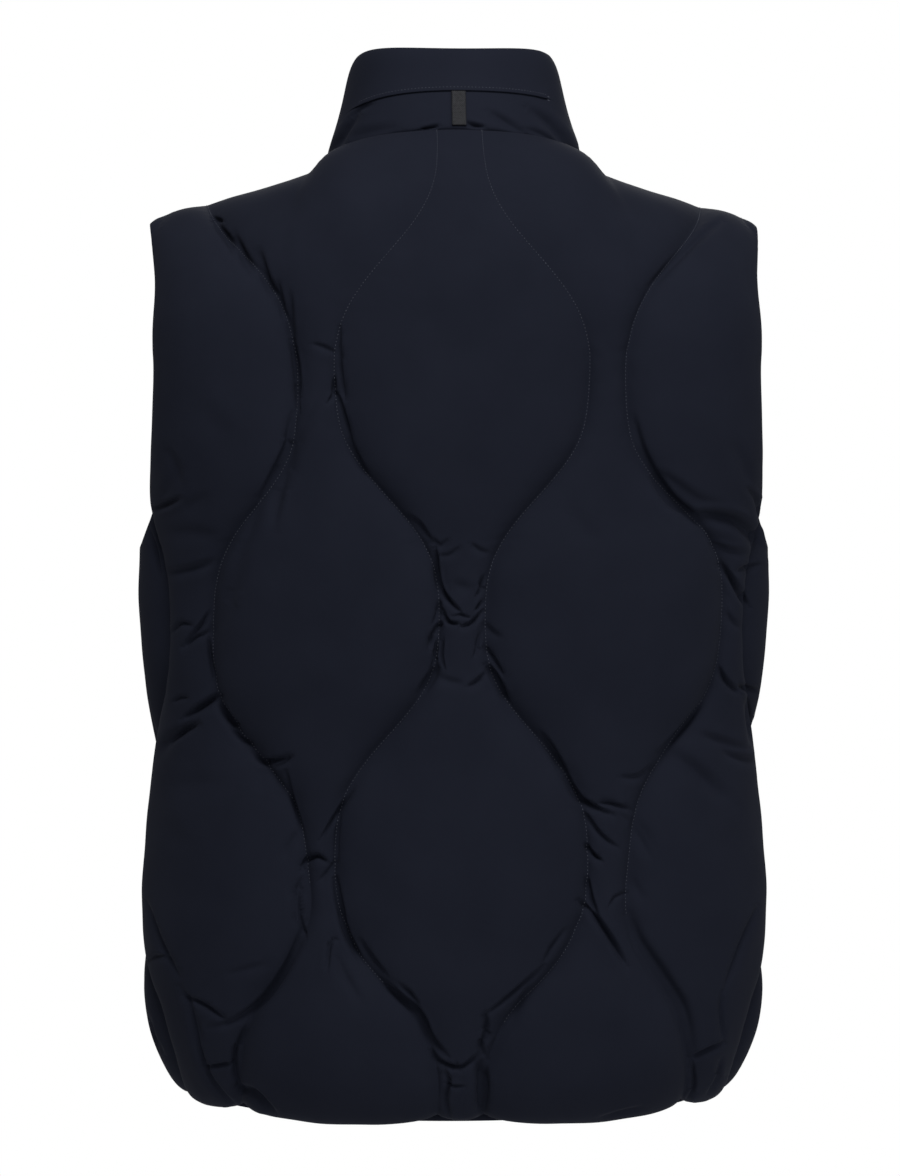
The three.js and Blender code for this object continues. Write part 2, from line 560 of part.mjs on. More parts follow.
// A geometry drawn upright about its own middle, with its face towards -Y, set on the zip.
function onZip(geometry, distance) {
  const { point, outward, along, aside } = zipAt(distance);
  const frame = new THREE.Matrix4().makeBasis(aside, outward.clone().negate(), along).setPosition(point);
  return geometry.applyMatrix4(frame);
}

// The band inside the hem, from one side of the zip round the back to the other. It keeps to the
// corners of the panels' edge.
function hemBandGeometry() {
  const rows = [panels.back_panel, panels.front_panel_left, panels.front_panel_right];
  const [back, left, right] = rows.map((cells) => cells[0]);
  const round = [...right, ...back.slice(1), ...left.slice(0, -1).reverse()].map((cell) => cell.point.clone());
  const kept = round.filter((p) => p.y > 0 || Math.abs(p.x) > HEM_BAND.frontStop);
  const places = kept.map((point, i) => {
    const along = kept[Math.min(i + 1, kept.length - 1)].clone().sub(kept[Math.max(i - 1, 0)]);
    const outward = new THREE.Vector3(-along.y, along.x, 0).normalize();
    return { point, outward, aside: new THREE.Vector3(0, 0, 1) };
  });
  return stripGeometry(places, -HEM_BAND.below, HEM_BAND.above, -HEM_BAND.inner, -HEM_BAND.outer);
}

function hangerLoopGeometry() {
  const count = 6;
  const places = Array.from({ length: count + 1 }, (_, i) => {
    const height = lerp(HANGER_LOOP.end, TUCK.height, i / count);
    const cell = collarPlace(0, height);
    return { point: movedOut(cell, cell.padding), outward: cell.outward, aside: new THREE.Vector3(1, 0, 0) };
  });
  const half = HANGER_LOOP.width / 2;
  return stripGeometry(places, -half, half, HANGER_LOOP.standsOff, HANGER_LOOP.standsOff + HANGER_LOOP.thickness);
}

// Joining closed solids.
const solids = await Module();
solids.setup();

function solidOf(geometry) {
  const bare = geometry.index ? geometry.toNonIndexed() : geometry.clone();
  const corners = bare.getAttribute("position");
  const seen = new Map();
  const places = [];
  const faces = Array.from({ length: corners.count }, (_, i) => {
    const p = [corners.getX(i), corners.getY(i), corners.getZ(i)];
    const key = p.map((x) => Math.round(x * 1e4)).join();
    if (!seen.has(key)) {
      seen.set(key, places.length / 3);
      places.push(...p);
    }
    return seen.get(key);
  });
  const mesh = { numProp: 3, vertProperties: new Float32Array(places), triVerts: new Uint32Array(faces) };
  return new solids.Manifold(new solids.Mesh(mesh));
}

function joined(geometries) {
  const whole = geometries.map(solidOf).reduce((a, b) => a.add(b)).getMesh();
  const geometry = new THREE.BufferGeometry();
  geometry.setAttribute("position", new THREE.Float32BufferAttribute(Array.from(whole.vertProperties), 3));
  geometry.setIndex(Array.from(whole.triVerts));
  geometry.computeVertexNormals();
  return geometry;
}

const block = (width, depth, height, x, y, z) => new THREE.BoxGeometry(width, depth, height).translate(x, y, z);

// The slider: a plate before and behind the teeth, a post between them above the last tooth, and a bar
// between two ears for the pull tab.
const SLIDER = { width: 8.4, height: 11, plate: 1.3, slot: 3.2, post: 2, postHeight: 2.4 };
const BAR = { radius: 0.8, length: 5.4, out: 2.35, up: 2.6 };
const EAR = { width: 1.1, middle: 2.55, beyondBar: 1.3, height: 3 };

function sliderGeometry() {
  const { width, height, plate, slot, post, postHeight } = SLIDER;
  const front = -slot / 2 - plate;
  const earDepth = BAR.out + EAR.beyondBar + 0.3;
  const ears = [-1, 1].map((side) =>
    block(EAR.width, earDepth, EAR.height, side * EAR.middle, front + 0.3 - earDepth / 2, BAR.up));
  const bar = new THREE.CylinderGeometry(BAR.radius, BAR.radius, BAR.length, 12).rotateZ(Math.PI / 2);
  return joined([
    ...[-1, 1].map((side) => block(width, plate, height, 0, (side * (slot + plate)) / 2, 0)),
    block(post, slot + 0.4, postHeight, 0, 0, (height - postHeight) / 2),
    ...ears,
    bar.translate(0, front - BAR.out, BAR.up),
  ]);
}

// The pull tab: an eye round the slider's bar, and a plate that hangs from the eye's back.
const TAB = { length: 27, halfWidth: 3.2, neckHalf: 1.5, shoulder: 6, thickness: 1.4, hole: 1.4 };
const EYE = { inner: 1.1, outer: 2.1, width: 3.4 };

function tabGeometry() {
  const { length, halfWidth, neckHalf, shoulder, thickness, hole } = TAB;
  const outline = new THREE.Shape().moveTo(neckHalf, -EYE.inner - 0.3).lineTo(-neckHalf, -EYE.inner - 0.3);
  outline.lineTo(-halfWidth, -shoulder).lineTo(-halfWidth, halfWidth - length);
  outline.absarc(0, halfWidth - length, halfWidth, Math.PI, 2 * Math.PI, false).lineTo(halfWidth, -shoulder);
  outline.holes.push(new THREE.Path().absarc(0, halfWidth - length + 0.6, hole, 0, 2 * Math.PI, true));
  const plate = new THREE.ExtrudeGeometry(outline, { depth: thickness, bevelEnabled: false, curveSegments: 8 });
  plate.rotateX(Math.PI / 2).translate(0, EYE.outer, 0);
  const round = new THREE.Shape().absarc(0, 0, EYE.outer, 0, 2 * Math.PI, false);
  round.holes.push(new THREE.Path().absarc(0, 0, EYE.inner, 0, 2 * Math.PI, true));
  const eye = new THREE.ExtrudeGeometry(round, { depth: EYE.width, bevelEnabled: false, curveSegments: 8 });
  const whole = joined([plate, eye.translate(0, 0, -EYE.width / 2).rotateY(Math.PI / 2)]);
  return whole.translate(0, -SLIDER.slot / 2 - SLIDER.plate - BAR.out, BAR.up);
}

const vest = new THREE.Group();

function add(name, geometry, material, parent = vest) {
  const mesh = new THREE.Mesh(geometry, material);
  mesh.name = name;
  parent.add(mesh);
  return mesh;
}

for (const [name, cells] of Object.entries(panels)) add(name, wallOf(cells), navyCloth());
add("collar", collarGeometry(), navyCloth());
add("hanger_loop", hangerLoopGeometry(), blackTape());
add("hem_band", hemBandGeometry(), navyCloth());
add("zip_tape_left", zipTapeGeometry(false), blackTape());
add("zip_tape_right", zipTapeGeometry(true), blackTape());
add("zip_teeth", zipTeethGeometry(), blackTape());
const box = block(ZIP_BOX.width, ZIP_BOX.thickness, ZIP_BOX.height, 0, 0, 0);
add("zip_box", onZip(box, ZIP_BOX.height / 2), blackTape());
add("slider", onZip(sliderGeometry(), sliderDistance), darkMetal());
add("pull_tab", onZip(tabGeometry(), sliderDistance), darkMetal());

export default vest;
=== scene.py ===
import math

import bmesh
import bpy
import numpy as np
from mathutils import Matrix, Vector, noise
from mathutils.bvhtree import BVHTree


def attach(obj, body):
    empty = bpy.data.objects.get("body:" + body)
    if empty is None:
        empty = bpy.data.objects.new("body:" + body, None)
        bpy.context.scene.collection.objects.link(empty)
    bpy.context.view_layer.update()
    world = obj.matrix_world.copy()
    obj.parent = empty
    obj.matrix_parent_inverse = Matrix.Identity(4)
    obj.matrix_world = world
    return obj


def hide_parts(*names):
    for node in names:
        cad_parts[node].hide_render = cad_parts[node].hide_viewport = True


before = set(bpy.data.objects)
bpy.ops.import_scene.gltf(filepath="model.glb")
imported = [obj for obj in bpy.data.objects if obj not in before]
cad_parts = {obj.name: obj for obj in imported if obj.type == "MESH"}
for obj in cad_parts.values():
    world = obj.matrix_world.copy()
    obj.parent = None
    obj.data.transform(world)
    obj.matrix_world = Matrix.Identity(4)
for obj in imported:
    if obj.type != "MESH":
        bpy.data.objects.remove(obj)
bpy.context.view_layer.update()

MM = 0.001

# The back panel.
# One piece of light woven nylon over polyester wadding and a plain lining, quilted together in upright
# wavy rows. It is cut with the armholes' back halves, sewn at the shoulders, sides and neck, and turned
# in at the armholes and the hem.

# Body sections at the lining: height, half width, depth at the back and front, and squareness.
sections = np.array([
    (-606, 163, 94, 105, 2.2),
    (-619, 173, 104, 115, 2.2),
    (-598, 186, 114, 126, 2.2),
    (-556, 197, 119, 133, 2.2),
    (-500, 197, 120, 136, 2.2),
    (-405, 191, 119, 137, 2.2),
    (-325, 196, 122, 138, 2.3),
    (-256, 198, 126, 137, 2.5),
    (-190, 198, 127, 134, 2.8),
    (-130, 198.5, 124, 126, 3.0),
])
side_hem_rise, hem_rise_fades_at = 6, -420
armhole_bottom, armhole_widest, armhole_half_depth = -256, -130, 57
neck_seam = {"half_width": 83, "y": (82, 4, -82), "z": (8, -13, -50)}
collar_top = {"half_width": 63, "y": (59, -2, -66), "z": (64, 63, 34)}
shoulder_tip = np.array([201.0, 0.0, -46.0])
shoulder_dip = 4.5
samples, neck_samples = 180, 96
underarm, over_the_fold, yoke_rows = 7, 46, 34


def unit(v):
    return v / np.maximum(np.linalg.norm(v, axis=-1, keepdims=True), 1e-9)


def mix(a, b, t):
    return a + (b - a) * t


def walked_along(line):
    """The distance from a line's start to each of its places."""
    return np.concatenate([[0], np.cumsum(np.linalg.norm(np.diff(line, axis=0), axis=1))])


def spline(a, b, c, d, t):
    """A smooth curve's places from b to c, with a before them and d after."""
    return 0.5 * (2 * b + (c - a) * t + (2 * a - 5 * b + 4 * c - d) * t * t
                  + (3 * b - a - 3 * c + d) * t ** 3)


climb = walked_along(sections[:, :2])
underarm_climb = climb[underarm]


def section_at(place):
    """The body's section at a place, by its distance up the cloth from the hem's edge."""
    i = int(np.clip(np.searchsorted(climb, place, side="right") - 1, 0, len(climb) - 2))
    t = min(max((place - climb[i]) / (climb[i + 1] - climb[i]), 0), 1)
    nearby = (sections[min(max(k, 0), len(climb) - 1)] for k in (i - 1, i, i + 1, i + 2))
    return spline(*nearby, t)


def ring_point(ring, angle):
    """A place on one of the collar's rings, by its angle from the centre back."""
    c = np.cos(angle)
    y, z = ((side + (back - front) / 2 * c + ((back + front) / 2 - side) * c * c)
            for back, side, front in (ring["y"], ring["z"]))
    return np.stack(np.broadcast_arrays(ring["half_width"] * np.sin(angle), y, z), axis=-1)


def along_line(line, values, stops):
    """Values along a line, at distances from its start."""
    walked = walked_along(line)
    return np.stack([np.interp(stops, walked, values[:, k]) for k in range(values.shape[1])], axis=-1)


def neck_direction(angle):
    """The direction across the cloth at the neck seam."""
    return np.stack([np.sin(angle) * 0.8, np.cos(angle) * 0.8, np.full_like(angle, 0.6)], axis=-1)


def body_row(side, place):
    """A level line round half the body, from the centre out, evenly spaced along the cloth."""
    z, half_width, back, front, square = section_at(place)
    depth, sign = (back, 1) if side == "back" else (front, -1)
    opened = np.clip((armhole_widest - z) / (armhole_widest - armhole_bottom), 0, 1)
    gap = armhole_half_depth * math.sqrt(1 - opened ** 2) if place > underarm_climb + 0.01 else 0
    angle = np.linspace(0, math.acos(min((gap / depth) ** (square / 2), 1)), 400)
    x = half_width * np.sin(angle) ** (2 / square)
    y = sign * depth * np.maximum(np.cos(angle), 0) ** (2 / square)
    rise = side_hem_rise * np.clip((hem_rise_fades_at - z) / (hem_rise_fades_at + 600), 0, 1)
    fine = np.stack([x, y, z + rise * (x / half_width) ** 2], axis=-1)
    return along_line(fine, fine, np.linspace(0, walked_along(fine)[-1], samples + 1))


def top_edge(side):
    """The panel's upper edge: half the neckline, and then the shoulder seam."""
    i = np.arange(samples + 1)
    angle = mix(0.0 if side == "back" else math.pi, math.pi / 2, np.clip(i / neck_samples, 0, 1))
    out = np.clip((i - neck_samples) / (samples - neck_samples), 0, 1)[:, None]
    neck_point = ring_point(neck_seam, math.pi / 2)
    along = shoulder_tip - neck_point
    point = np.where(out > 0, neck_point + along * out, ring_point(neck_seam, angle))
    point[:, 2] -= (shoulder_dip * 6.75 * out * (1 - out) ** 2)[:, 0]
    ease = np.clip(out / 0.25, 0, 1)
    shoulder_up = unit(np.array([-along[2], 0, along[0]]))
    across = unit(mix(neck_direction(angle), shoulder_up, ease * ease * (3 - 2 * ease)))
    level = np.array([0, -1 if side == "back" else 1, 0])
    up_neck = np.array([0, -0.66 if side == "back" else 0.58, 0.8])
    arrives = unit(mix(level, up_neck, np.cos(angle)[:, None] ** 2))
    return point, across, arrives


def half_panel(side):
    """The lining's surface of half a panel, with each place's outward direction and its distances
    across from the centre and up from the shoulder blades, for the quilting."""
    end = climb[-1]
    places = np.concatenate([
        np.arange(0, over_the_fold, 2.9), np.linspace(over_the_fold, underarm_climb, 62)[:-1],
        underarm_climb + np.array([0, 0.8, 2.2, 4.2, 7, 10.5]), np.linspace(underarm_climb + 15, end, 24)])
    rows = np.array([body_row(side, place) for place in places])
    top, across_top, arrives = top_edge(side)
    t = (np.arange(1, yoke_rows + 1) / yoke_rows)[:, None, None]
    pull = np.linalg.norm(top - rows[-1], axis=1)[None, :, None] * 1.15
    yoke = (rows[-1] * (2 * t ** 3 - 3 * t ** 2 + 1) + top * (3 * t ** 2 - 2 * t ** 3)
            + np.array([0, 0, 1]) * (t ** 3 - 2 * t ** 2 + t) * pull + arrives * (t ** 3 - t ** 2) * pull)
    point = np.concatenate([rows, yoke])
    over = np.concatenate([np.zeros(len(rows)), t[:, 0, 0]])[:, None]
    up_yoke = np.cumsum(np.linalg.norm(np.diff(point[len(rows) - 1:], axis=0), axis=2), axis=0)
    up = np.concatenate([np.broadcast_to((places - end)[:, None], rows.shape[:2]), up_yoke])
    step = np.linalg.norm(np.diff(point, axis=1), axis=2)
    along = np.concatenate([np.zeros((len(point), 1)), np.cumsum(step, axis=1)], axis=1)
    even = np.linspace(0, 1, samples + 1)[None, :] * along[len(rows) - 1, -1]
    across = np.where(over > 0, mix(even, point[..., 0] * 1.08, over), along)
    outward = np.cross(np.gradient(point, axis=1), np.gradient(point, axis=0))
    outward = unit(outward) * (-1 if side == "back" else 1)
    outward[:, 0, 0] = 0
    below = point[:, -1, 2] < armhole_bottom - 0.5
    outward[below, -1, 1] = 0
    share = np.clip((over - 0.75) / 0.25, 0, 1)[..., None]
    outward = unit(mix(unit(outward), across_top, share))
    to_hem = np.broadcast_to(np.concatenate([places, end + up_yoke[:, 0]])[:, None], up.shape)
    return {"point": point, "outward": outward, "across": across, "up": up, "over": over[:, 0],
            "to_side": across[:, -1:] - across, "to_top": up[-1:] - up, "to_hem": to_hem,
            "seamed": (point[:, -1, 2] <= armhole_bottom + 0.5)}


# The rows of stitches swing to and fro, each the mirror image of the next.
row_spacing, row_swing, half_wave, wide_height = 95, 33, 153.5, -21
stitched, loft, lining, sag = 2, 15, 1.5, 4
edge_reach, hem_reach, seam_loft, front_edge, seam_overlap = 9, 18, 0.25, 6, 0.35

# The back's outer rows stray from that, read off the photograph: heights, and how far towards the side
# the rows on the wearer's left and right lie at each.
stray_heights = (-470, -440, -415, -390, -365, -335, -300, -262, -232, -205, -150, -120, -95, -75, -45, 0, 40)
stray_left = (-30, -30, -26, -20, -18, -12, -8, -2, -2, -10, -14, -16, -17, -12, -6, -4, 0)
stray_right = (-22, -24, -18, -12, -8, -2, 1, 0, 2, 3, 5, 3, -7, -9, -6, -5, 0)


def stitch_row(number, up, side=0):
    """A row's distance from the centre, by its height. The side is 1 for the back's left, -1 for right."""
    phase = np.pi * (up - wide_height) / half_wave
    wave = (np.cos(phase) - 0.08 * np.cos(3 * phase)) / 0.92
    across = row_spacing * (number - 0.5) + (row_swing if number % 2 else -row_swing) * wave
    if number == 2:
        for stray, here in ((stray_left, side > 0), (stray_right, side < 0)):
            for step in (-10, 0, 10):
                across = across + np.interp(up + step, stray_heights, stray) / 3 * here
    return across


def fills(distance, reach):
    return 1 - np.exp(-np.maximum(distance, 0) / reach)


def puffs(distance, calm=0):
    """A puff's rise from a row of stitches: steep at first, then nearly flat."""
    rise = 0.48 * fills(distance, 6) + 0.52 * fills(distance, 34)
    return mix(rise, 0.8 + 0.2 * rise, calm)


def uneven(cell):
    """How much the filling swells and hollows a cell: broad soft waves, longer up the cloth."""
    def waves(wide, tall, much):
        places = zip((cell["across"] / wide).ravel(), (cell["up"] / tall).ravel())
        return much * np.array([noise.noise((a, b, wide)) for a, b in places]).reshape(cell["up"].shape)

    return waves(31, 52, 2.2) + waves(13, 24, 0.8)


def padding(side, cell):
    """How far the cloth stands out from the lining: little along stitches, seams and edges."""
    slope = (stitch_row(1, cell["up"] + 1) - stitch_row(1, cell["up"] - 1)) / 2
    lean = 1 / np.hypot(1, slope)
    across = np.abs(cell["across"])
    share = np.ones_like(across)
    pucker = np.zeros_like(across)
    calm = np.clip((cell["up"] + 35) / 60, 0, 1) if side == "back" else 0
    for number in (1, 2, 3):
        beside = np.abs(across - stitch_row(number, cell["up"], cell["side"])) * lean
        share *= puffs(beside, calm if number == 1 else 0)
        ripple = np.sin(cell["up"] * 0.85 + 2.5 * np.sin(cell["up"] / 27 + number + cell["side"]))
        pucker += 0.28 * ripple * np.exp(-((beside - 5) / 4) ** 2)
    if side == "back":
        share *= puffs((across + stitch_row(1, cell["up"])) * lean, calm)
    on_shoulder = np.clip((cell["sample"] - neck_samples) / 12, 0, 1)
    share = mix(share, mix(0.95, share, fills(cell["to_top"], 12)), on_shoulder)
    if side == "front":
        share *= fills(across - front_edge, edge_reach)
    neck_point = ring_point(neck_seam, math.pi / 2)
    from_neck = np.linalg.norm(cell["point"] - neck_point, axis=-1)
    share *= 1 - 0.85 * np.exp(-(from_neck / 30) ** 2)
    at_side = np.where(cell["seamed"][:, None], mix(seam_loft, 1, fills(cell["to_side"], 14)),
                       fills(cell["to_side"], edge_reach))
    reach = mix(30.0, 16.0, np.clip((cell["sample"] - neck_samples) / (samples - neck_samples), 0, 1))
    share *= at_side * mix(seam_loft, 1, fills(cell["to_top"], reach)) * fills(cell["to_hem"], hem_reach)
    return stitched + loft * share + uneven(cell) * share + pucker, sag * share * fills(cell["to_top"], 70)


def sample_where(grid, measure):
    """The sample number, which needn't be whole, where a measure of each row passes nought."""
    i = np.clip(np.argmax(measure[:, 1:] >= 0, axis=1), 0, samples - 1)
    i = np.where((measure[:, 1:] >= 0).any(axis=1), i, samples - 1)
    rows = np.arange(len(measure))
    before, after = measure[rows, i], measure[rows, i + 1]
    return i + np.clip(before / (before - after), 0, 1)


def crowded(a, b, count, middle=None):
    """Columns from a up to b, half as far apart again near both ends."""
    k = np.arange(count) / count
    t = (0.45 * k + 0.55 * (1 - np.cos(np.pi * k)) / 2) * 2
    a, b = a[:, None], b[:, None]
    middle = (a + b) / 2 if middle is None else middle[:, None]
    return np.where(t < 1, mix(a, middle, t), mix(middle, b, t - 1))


def panel_cells(side, mirror=False):
    """A panel's grid: its columns follow the rows of stitches."""
    grid = half_panel(side)

    def columns(turn):
        one, two, three = (np.minimum(
            sample_where(grid, grid["across"] - stitch_row(number, grid["up"], turn)),
            samples * (1 - 0.0433 * (4 - number))) for number in (1, 2, 3))
        last = np.full_like(one, samples)
        middle = mix((one + two) / 2, neck_samples, grid["over"])
        return one, np.concatenate([crowded(one, two, 18, middle), crowded(two, three, 16),
                                    crowded(three, last, 10), last[:, None]], axis=1)

    one, outer = columns(1 if side == "back" else 0)
    if side == "back":
        sample = np.concatenate([-columns(-1)[1][:, :0:-1], crowded(-one, one, 20), outer], axis=1)
        stitches = [10, 26, 44, 64, 82, 98]
    else:
        edge = sample_where(grid, grid["point"][..., 0] - front_edge)
        sample = np.concatenate([crowded(edge, one, 10), outer], axis=1)
        stitches = [10, 28, 44]
    flip = (sample < 0) != mirror
    sample = np.abs(sample)
    i = np.minimum(sample.astype(int), samples - 1)
    t = sample - i
    rows = np.arange(len(sample))[:, None]

    def at(name):
        values = grid[name]
        if values.ndim == 3:
            return mix(values[rows, i], values[rows, i + 1], t[..., None])
        return mix(values[rows, i], values[rows, i + 1], t)

    cell = {name: at(name) for name in ("point", "outward", "across", "up", "to_side", "to_top", "to_hem")}
    turn = np.where(flip, -1, 1) if side == "back" else np.zeros(flip.shape, int)
    cell.update(sample=sample, seamed=grid["seamed"], stitches=stitches, side=turn)
    cell["outward"] = unit(cell["outward"])
    past = -seam_overlap if side == "back" else seam_overlap
    cell["point"][-1, :, 1] += past
    at_side = (cell["to_side"] < 1) & grid["seamed"][:, None]
    cell["point"][..., 1] += np.where(at_side, past, 0)
    cell["padding"], cell["sag"] = padding(side, cell)
    for name in ("point", "outward"):
        cell[name][..., 0] *= np.where(flip, -1, 1)
    cell["across"] = cell["across"] * np.where(flip, -1, 1)
    return cell


def as_object(name, bm):
    """Puts a finished shape in the scene."""
    mesh = bpy.data.meshes.new(name)
    bm.to_mesh(mesh)
    bm.free()
    obj = bpy.data.objects.new(name, mesh)
    bpy.context.scene.collection.objects.link(obj)
    return obj


def outer_cloth(cell):
    """The outer cloth's places, in millimetres."""
    outside = cell["point"] + cell["outward"] * cell["padding"][..., None]
    outside[..., 2] -= cell["sag"]
    return outside


def wall_mesh(name, cell, behind=lining):
    """A closed wall from a grid of cells: the outer cloth, the lining, and the turned edge between."""
    rows, columns = cell["padding"].shape
    bm = bmesh.new()
    bmesh.ops.create_grid(bm, x_segments=columns - 1, y_segments=rows - 1, size=1)
    number = bm.verts.layers.int.new("cell")
    face_out, thick = bm.verts.layers.float.new("outer"), bm.verts.layers.float.new("thick")
    across, up = bm.verts.layers.float.new("across"), bm.verts.layers.float.new("up")
    for v in bm.verts:
        k = round((v.co.x + 1) / 2 * (columns - 1))
        j = round((v.co.y + 1) / 2 * (rows - 1))
        v[number] = j * columns + k
    made = bmesh.ops.extrude_face_region(bm, geom=bm.faces[:], use_keep_orig=True)
    inner = {v for v in made["geom"] if isinstance(v, bmesh.types.BMVert)}
    outside = outer_cloth(cell).reshape(-1, 3) * MM
    inside = (cell["point"] - cell["outward"] * behind).reshape(-1, 3) * MM
    flat_across, flat_up, deep = cell["across"].ravel(), cell["up"].ravel(), cell["padding"].ravel()
    for v in bm.verts:
        n = v[number]
        v.co = inside[n] if v in inner else outside[n]
        v[face_out] = 0 if v in inner else 1
        v[across], v[up], v[thick] = flat_across[n], flat_up[n], deep[n] + behind
    weave = bm.loops.layers.uv.new("cloth")
    for f in bm.faces:
        f.smooth = True
        for loop in f.loops:
            loop[weave].uv = (loop.vert[across] * MM, loop.vert[up] * MM)
    bmesh.ops.recalc_face_normals(bm, faces=bm.faces)
    return as_object(name, bm)


def finished(obj):
    """Applies an object's modifiers."""
    now = obj.evaluated_get(bpy.context.evaluated_depsgraph_get())
    old = obj.data
    obj.data = bpy.data.meshes.new_from_object(now)
    obj.modifiers.clear()
    bpy.data.meshes.remove(old)
    obj.data.name = obj.name
    return obj


def smoothed(obj, levels=1):
    mod = obj.modifiers.new("smooth", "SUBSURF")
    mod.levels = mod.render_levels = levels
    return finished(obj)


# The photograph's camera: how far it stands to the left, how far off, and the metres that a pixel shows.
view_turn, view_distance, view_scale = math.radians(2.5), 2.6, 0.000665
photo_width, photo_height, off_middle = 900, 1176, 3.5
view_place = np.array([math.sin(view_turn), math.cos(view_turn), 0]) * view_distance + [0, 0, -0.285]


def seen_at(points):
    """Where points show in the photograph, across and down in pixels."""
    ahead = -np.array([math.sin(view_turn), math.cos(view_turn), 0])
    right = np.array([-math.cos(view_turn), math.sin(view_turn), 0])
    from_eye = points - view_place
    scale = view_distance / view_scale / (from_eye @ ahead)
    return np.stack([photo_width / 2 + off_middle + (from_eye @ right) * scale,
                     photo_height / 2 - from_eye[:, 2] * scale], axis=-1)


def curve_through(stops, steps=6):
    """A smooth line through a crease's places."""
    stops = np.array(stops, float)
    ends = np.vstack([2 * stops[0] - stops[1], stops, 2 * stops[-1] - stops[-2]])
    t = np.linspace(0, 1, steps, endpoint=False)[:, None]
    parts = [spline(*nearby, t) for nearby in zip(ends, ends[1:], ends[2:], ends[3:])]
    return np.vstack(parts + [stops[-1:]])


def nearest_on(line, places):
    """Each place's distance from a line, how far along the line it is, from 0 to 1, and if it is below."""
    a, b = line[:-1], line[1:]
    leg = b - a
    size = np.einsum("ij,ij->i", leg, leg)
    t = np.clip(((places[:, None] - a) * leg).sum(-1) / size, 0, 1)
    off = places[:, None] - (a + leg * t[..., None])
    gap = np.linalg.norm(off, axis=-1)
    k = gap.argmin(axis=1)
    rows = np.arange(len(places))
    walked = np.concatenate([[0], np.cumsum(np.sqrt(size))])
    below = off[rows, k, 1] - 0.3 * off[rows, k, 0] > 0
    return gap[rows, k], (walked[k] + t[rows, k] * np.sqrt(size[k])) / walked[-1], below


